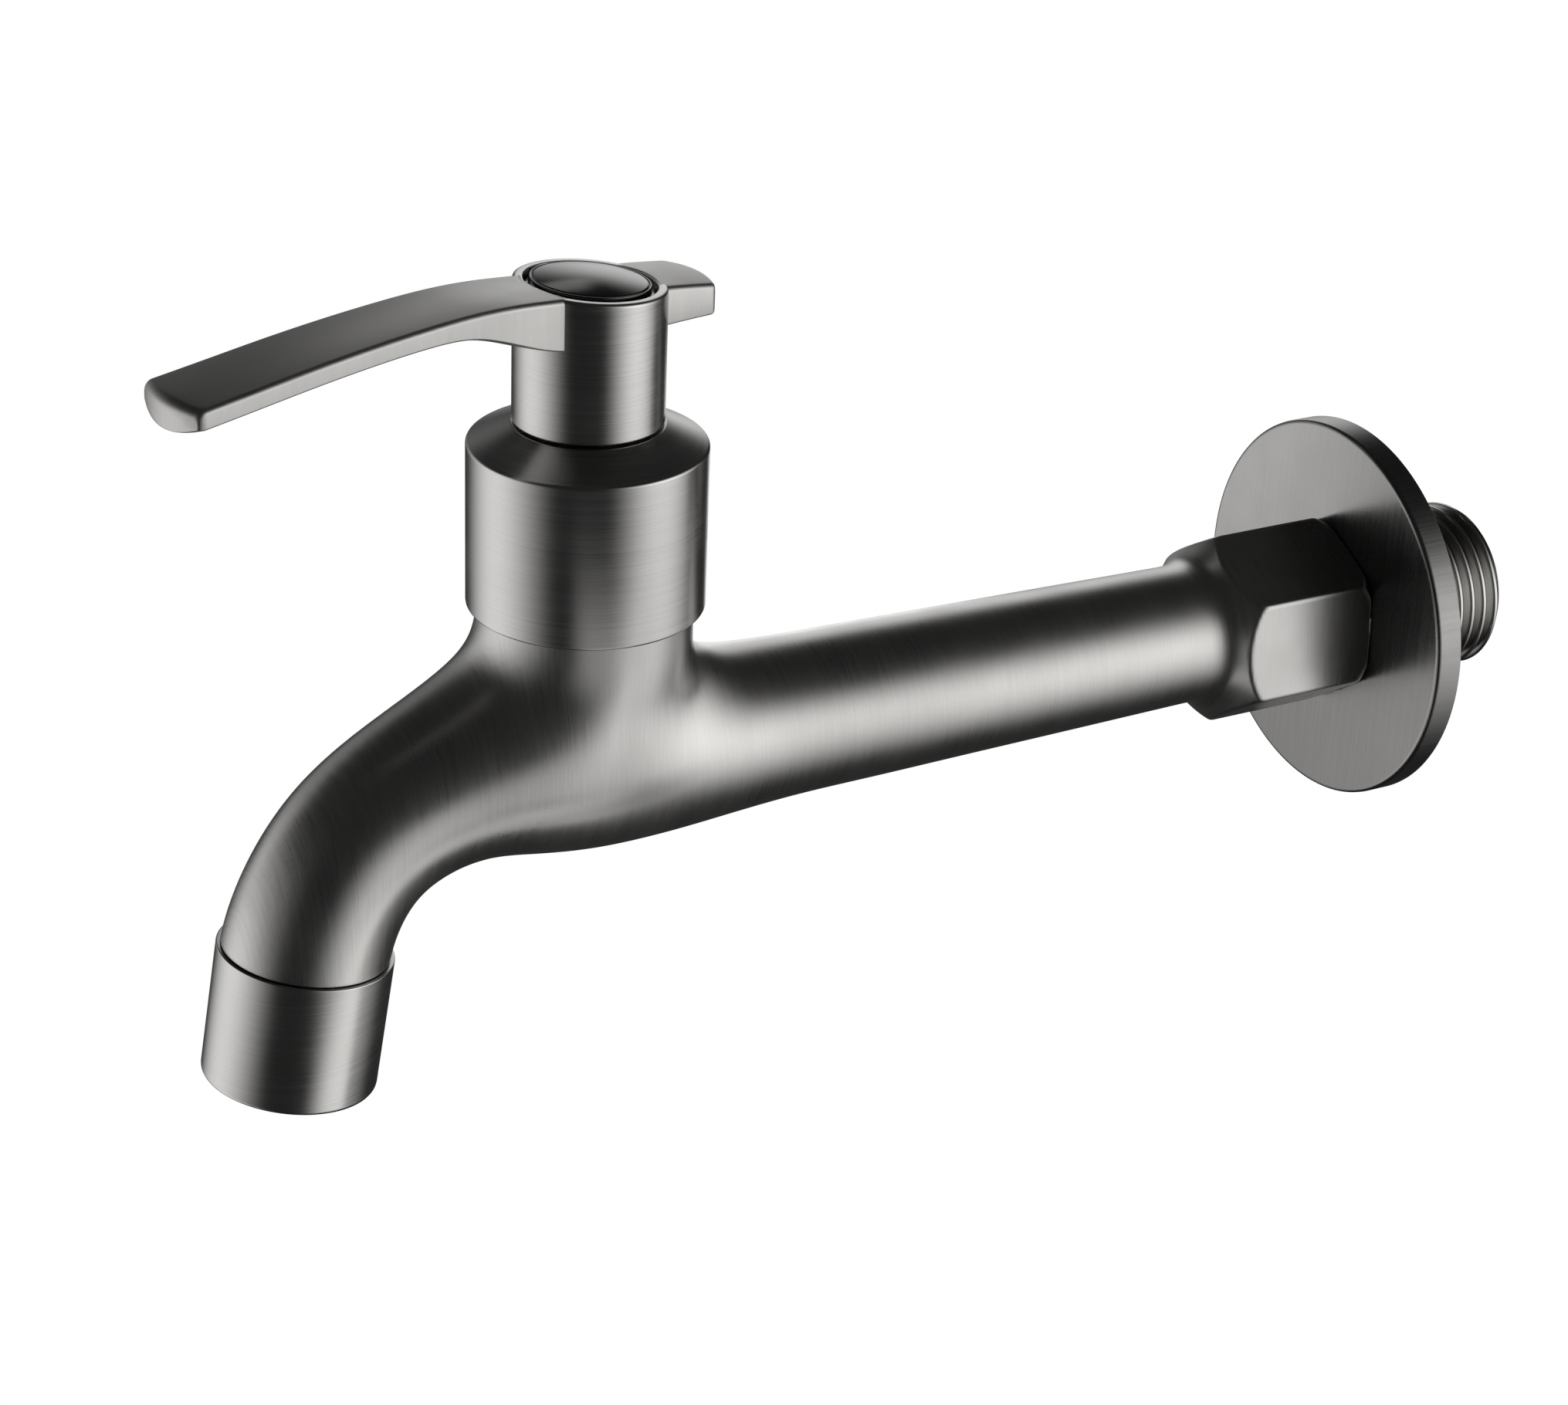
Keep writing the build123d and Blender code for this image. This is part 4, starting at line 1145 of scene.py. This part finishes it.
    def cap(self) -> bpy.types.Object:
        """The domed button: a shallow dome, a fine groove and a bead over a sunken shoulder.

        The dome is the part of a ball that rises by dome_rise over its rim: height = top - ball +
        sqrt(ball^2 - r^2).

        Returns:
            The finished button.
        """
        dome_r, edge = self.button_r - self.bead - self.groove_width, self.button_stand
        ball = (dome_r ** 2 + self.dome_rise ** 2) / 2.0 / self.dome_rise
        share = np.linspace(0.02, 1.0, self.button_rings)
        top = edge + self.dome_rise
        dome = np.column_stack([dome_r * share, top - ball + np.sqrt(ball ** 2 - (dome_r * share) ** 2)])
        bead_r, groove = self.button_r - self.bead, edge - self.groove
        rim = rounded_profile([
            (dome_r, edge - 0.02, 0.0), (dome_r + 0.02, groove, 0.02), (bead_r, groove, 0.02),
            (bead_r, edge, 0.08), (self.button_r, edge, 0.1), (self.button_r, self.foot_top, 0.1),
            (self.foot_r, self.foot_top, 0.1), (self.foot_r, self.foot_low, 0.1), (0.3, self.foot_low, 0.0),
        ], closed=False)
        profile = np.vstack([dome, rim])
        return lathe("handle_button", profile, self.button_columns, self.slanted, closed=False)

    def build(self) -> None:
        """Builds the hub, the two bars and the button and dresses them."""
        finish_piece(self.hub(), TURNED, Body.HANDLE, "handle")
        finish_piece(self.bars(), GRIP, Body.HANDLE, "handle")
        finish_piece(self.cap(), BUTTON, Body.HANDLE, "handle_cap")


# Studio


class Stand(Enum):
    """How a light panel stands, by its distance in millimetres.

    The bowl is a sphere round the tap, and its two coordinates are degrees of azimuth and
    elevation. A card stands beside the tap at that x, and its coordinates are Y and Z.
    """

    BOWL = 1200.0
    CARD_RIGHT = 60.0
    CARD_LEFT = -70.0


Fades = tuple[tuple[float, float], tuple[float, float]]


@dataclass(frozen=True)
class SoftLight:
    """A soft panel laid out over two coordinates, whose light fades out towards its four sides.

    Each coordinate has a fade at its start and one at its end, and a fade is where the light is
    nothing and where it is full.
    """

    name: str
    stand: Stand
    first: Fades
    second: Fades
    strength: float
    lines: int = 25

    def make(self, middle: np.ndarray) -> bpy.types.Object:
        """Builds the panel, with its two coordinates as its UV map.

        Args:
            middle: the middle of the bowl, in metres.

        Returns:
            The light panel, hidden from the camera and from shadows.
        """
        across = np.linspace(self.first[0][0], self.first[1][0], self.lines)[None, :]
        upward = np.linspace(self.second[0][0], self.second[1][0], self.lines)[:, None]
        if self.stand is Stand.BOWL:
            turn, tilt = np.radians(across), np.radians(upward)
            points = middle + self.stand.value * MM * np.stack([
                np.sin(turn) * np.cos(tilt), np.cos(turn) * np.cos(tilt), np.sin(tilt) + 0.0 * turn,
            ], axis=-1)
        else:
            side = self.stand.value + 0.0 * across
            points = MM * np.stack(np.broadcast_arrays(side, across, upward), axis=-1)
        numbers = np.arange(points.shape[0] * points.shape[1]).reshape(points.shape[:2])
        quads = np.stack([numbers[:-1, :-1], numbers[:-1, 1:], numbers[1:, 1:], numbers[1:, :-1]], axis=-1)
        mesh = bpy.data.meshes.new(self.name)
        mesh.from_pydata(points.reshape(-1, 3).tolist(), [], quads.reshape(-1, 4).tolist())
        corner = np.empty(len(mesh.loops), dtype=np.int32)
        mesh.loops.foreach_get("vertex_index", corner)
        spots = np.stack(np.broadcast_arrays(across, upward), axis=-1).reshape(-1, 2)
        mesh.uv_layers.new(name="spots").data.foreach_set("uv", spots[corner].ravel())
        mesh.materials.append(self.glow())
        return stage_only(mesh)

    def glow(self) -> bpy.types.Material:
        """Light added to whatever is behind, faded by a smooth step at each of the four edges.

        Returns:
            The panel's material.
        """
        material, tree = new_material(self.name)
        where = add_node(tree, "UVMap", {"uv_map": "spots"})
        split = add_node(tree, "SeparateXYZ", Vector=where.outputs[0])
        level = self.strength
        for value, fades in ((split.outputs[0], self.first), (split.outputs[1], self.second)):
            for dark, full in fades:
                fade = add_node(
                    tree, "MapRange", {"interpolation_type": "SMOOTHSTEP"},
                    Value=value, From_Min=dark, From_Max=full,
                )
                level = add_node(
                    tree, "Math", {"operation": "MULTIPLY"}, in_0=fade.outputs[0], in_1=level,
                ).outputs[0]
        light = add_node(tree, "Emission", Strength=level)
        clear = add_node(tree, "BsdfTransparent")
        both = add_node(tree, "AddShader", in_0=light.outputs[0], in_1=clear.outputs[0])
        add_node(tree, "OutputMaterial", Surface=both.outputs[0])
        return material


def stage_only(mesh: bpy.types.Mesh) -> bpy.types.Object:
    """Makes a studio object that the camera doesn't see and that casts no shadow.

    Args:
        mesh: its mesh.

    Returns:
        The object, linked to the scene.
    """
    thing = bpy.data.objects.new(mesh.name, mesh)
    bpy.context.scene.collection.objects.link(thing)
    thing.visible_camera = False
    thing.visible_shadow = False
    return thing


@dataclass
class Studio:
    """White floor and background, black flags all round, soft panels and the camera."""

    # The middle of the bowl and of the flags, in metres
    middle: tuple = (0.0, -0.07, 0.01)
    lights: tuple = (
        SoftLight(
            "soft_box_right", Stand.BOWL,
            ((-14.0, 40.0), (98.0, 44.0)), ((-60.0, 2.0), (48.0, 6.0)), 2.5,
        ),
        SoftLight(
            "soft_box_left", Stand.BOWL,
            ((-216.0, -152.0), (-94.0, -148.0)), ((-60.0, -42.0), (28.0, -14.0)), 1.7,
        ),
        SoftLight(
            "soft_box_wall", Stand.BOWL,
            ((-142.0, -120.0), (-72.0, -100.0)), ((-10.0, 0.0), (34.0, 16.0)), 0.35,
        ),
        SoftLight(
            "soft_box_behind", Stand.BOWL,
            ((-80.0, -62.0), (-40.0, -56.0)), ((-28.0, 16.0), (40.0, 18.0)), 1.4,
        ),
        SoftLight(
            "card_flange", Stand.CARD_LEFT,
            ((-72.0, -56.0), (-6.0, -28.0)), ((-46.0, -20.0), (22.0, 2.0)), 1.1,
        ),
        SoftLight(
            "card_lever", Stand.CARD_LEFT,
            ((-130.0, -104.0), (-58.0, -76.0)), ((98.0, 109.0), (142.0, 123.0)), 0.8,
        ),
        SoftLight(
            "card_belly", Stand.CARD_RIGHT,
            ((-160.0, -125.0), (-68.0, -92.0)), ((-57.0, -30.0), (10.0, -10.0)), 0.72,
        ),
        SoftLight(
            "card_spout", Stand.CARD_RIGHT,
            ((-152.0, -116.0), (-58.0, -82.0)), ((-36.0, -58.0), (-120.0, -95.0)), 1.1,
        ),
    )
    # The camera's azimuth from straight on, its elevation and its roll, in degrees
    view: tuple = (60.739, 26.38, 2.484)
    eye: tuple = (0.3251, -0.2629, 0.1868)
    lens: float = 81.55
    # Heights and lengths in metres, and shares of the white that the lens sees behind the tap
    floor_height: float = -1.35
    floor_half: float = 20.0
    floor_white: float = 0.97
    flag_radius: float = 1.3
    flag_glow: float = 0.03
    flag_rows: int = 25
    flag_columns: int = 48
    # The cloth's rings end this far from its equator, and fans close its poles
    flag_tilt: float = 0.49 * math.pi
    soft_sky: float = 0.95

    def build(self) -> None:
        """Sets up everything round the object."""
        self.camera()
        self.floor()
        self.flags()
        self.world()
        for light in self.lights:
            light.make(np.array(self.middle))

    def camera(self) -> None:
        """The camera, at the angle and distance worked out from the photograph."""
        azimuth, elevation, roll = (math.radians(angle) for angle in self.view)
        turn = (
            Matrix.Rotation(azimuth, 4, "Z")
            @ Matrix.Rotation(FULL_TURN / 4.0 - elevation, 4, "X")
            @ Matrix.Rotation(roll, 4, "Z")
        )
        data = bpy.data.cameras.new("camera")
        data.lens = self.lens
        data.sensor_width = 36.0
        data.sensor_fit = "HORIZONTAL"
        data.clip_start = 0.01
        data.clip_end = 50.0
        camera = bpy.data.objects.new("camera", data)
        camera.matrix_world = Matrix.Translation(self.eye) @ turn
        bpy.context.scene.collection.objects.link(camera)
        bpy.context.scene.camera = camera

    def white_to_lens(self, tree: bpy.types.NodeTree) -> bpy.types.NodeSocket:
        """Adds what tells the rays that see the white from those that light the object.

        Args:
            tree: the tree of the floor or of the world.

        Returns:
            A socket that is 1 for camera, glossy and transmission rays, else 0.
        """
        path = add_node(tree, "LightPath")
        seen = path.outputs["Is Camera Ray"]
        for ray in ("Is Glossy Ray", "Is Transmission Ray"):
            seen = add_node(
                tree, "Math", {"operation": "MAXIMUM"}, in_0=seen, in_1=path.outputs[ray],
            ).outputs[0]
        return seen

    def floor(self) -> None:
        """A plain white floor well below the tap, which hangs free as in the photograph."""
        size = self.floor_half
        mesh = bpy.data.meshes.new("floor")
        corners = [(-size, -size), (size, -size), (size, size), (-size, size)]
        mesh.from_pydata([(x, y, self.floor_height) for x, y in corners], [], [(0, 1, 2, 3)])
        material, tree = new_material("painted_white_floor")
        paint = add_node(tree, "BsdfDiffuse", Color=linear("#FAFAFA"))
        glow = add_node(tree, "Emission", Strength=1.0)
        lens = self.white_to_lens(tree)
        share = add_node(tree, "Math", {"operation": "MULTIPLY"}, in_0=lens, in_1=self.floor_white)
        both = add_node(
            tree, "MixShader", in_0=share.outputs[0], in_1=paint.outputs[0], in_2=glow.outputs[0],
        )
        add_node(tree, "OutputMaterial", Surface=both.outputs[0])
        mesh.materials.append(material)
        thing = bpy.data.objects.new("floor", mesh)
        bpy.context.scene.collection.objects.link(thing)

    def flags(self) -> None:
        """Black cloth all round, which only the metal's reflections show, as in a product studio."""
        turn = np.linspace(0.0, FULL_TURN, self.flag_columns, endpoint=False)[None, :]
        tilt = np.linspace(-self.flag_tilt, self.flag_tilt, self.flag_rows)[:, None]
        points = np.stack([
            np.cos(tilt) * np.cos(turn), np.cos(tilt) * np.sin(turn), np.sin(tilt) + 0.0 * turn,
        ], axis=-1) * self.flag_radius / MM + np.array(self.middle) / MM
        shell = Shell()
        shell.stack(points)
        cloth = shell.to_object("black_flags")
        material, tree = new_material("black_felt")
        glow = add_node(tree, "Emission", Strength=self.flag_glow)
        add_node(tree, "OutputMaterial", Surface=glow.outputs[0])
        cloth.data.materials.append(material)
        for ray in ("camera", "diffuse", "shadow", "transmission"):
            setattr(cloth, f"visible_{ray}", False)

    def world(self) -> None:
        """White behind everything, and plain soft light on what isn't metal."""
        world = bpy.data.worlds.new("studio")
        bpy.context.scene.world = world
        world.use_nodes = True
        tree = world.node_tree
        tree.nodes.clear()
        lens = self.white_to_lens(tree)
        level = add_node(tree, "MapRange", Value=lens, To_Min=self.soft_sky, To_Max=1.0)
        sky = add_node(tree, "Background", Color=(1.0, 1.0, 1.0, 1.0), Strength=level.outputs[0])
        add_node(tree, "OutputWorld", Surface=sky.outputs[0])


def dress_inner_nodes() -> None:
    """Gives each CAD node that stays its own procedural material, by its slot in the record."""
    made = {slot: finish.make() for slot, finish in INNER.items()}
    for part in frame["record"]["subparts"]:
        slot = part["material_slot"]
        if slot not in made:
            continue
        node = frame["nodes"][part["node"]]
        node.data.materials.clear()
        node.data.materials.append(made[slot])
        LOG.info("%s: %s", node.name, made[slot].name)


def main() -> None:
    """Builds the tap's pieces in order, then the studio."""
    bpy.context.scene.view_settings.view_transform = "Standard"
    for assembly in (Casting(), WallThread(), Covers(), Grip()):
        assembly.build()
    dress_inner_nodes()
    Studio().build()


if __name__ == "__main__":
    logging.basicConfig(level=logging.INFO, format="%(name)s: %(message)s")
    main()
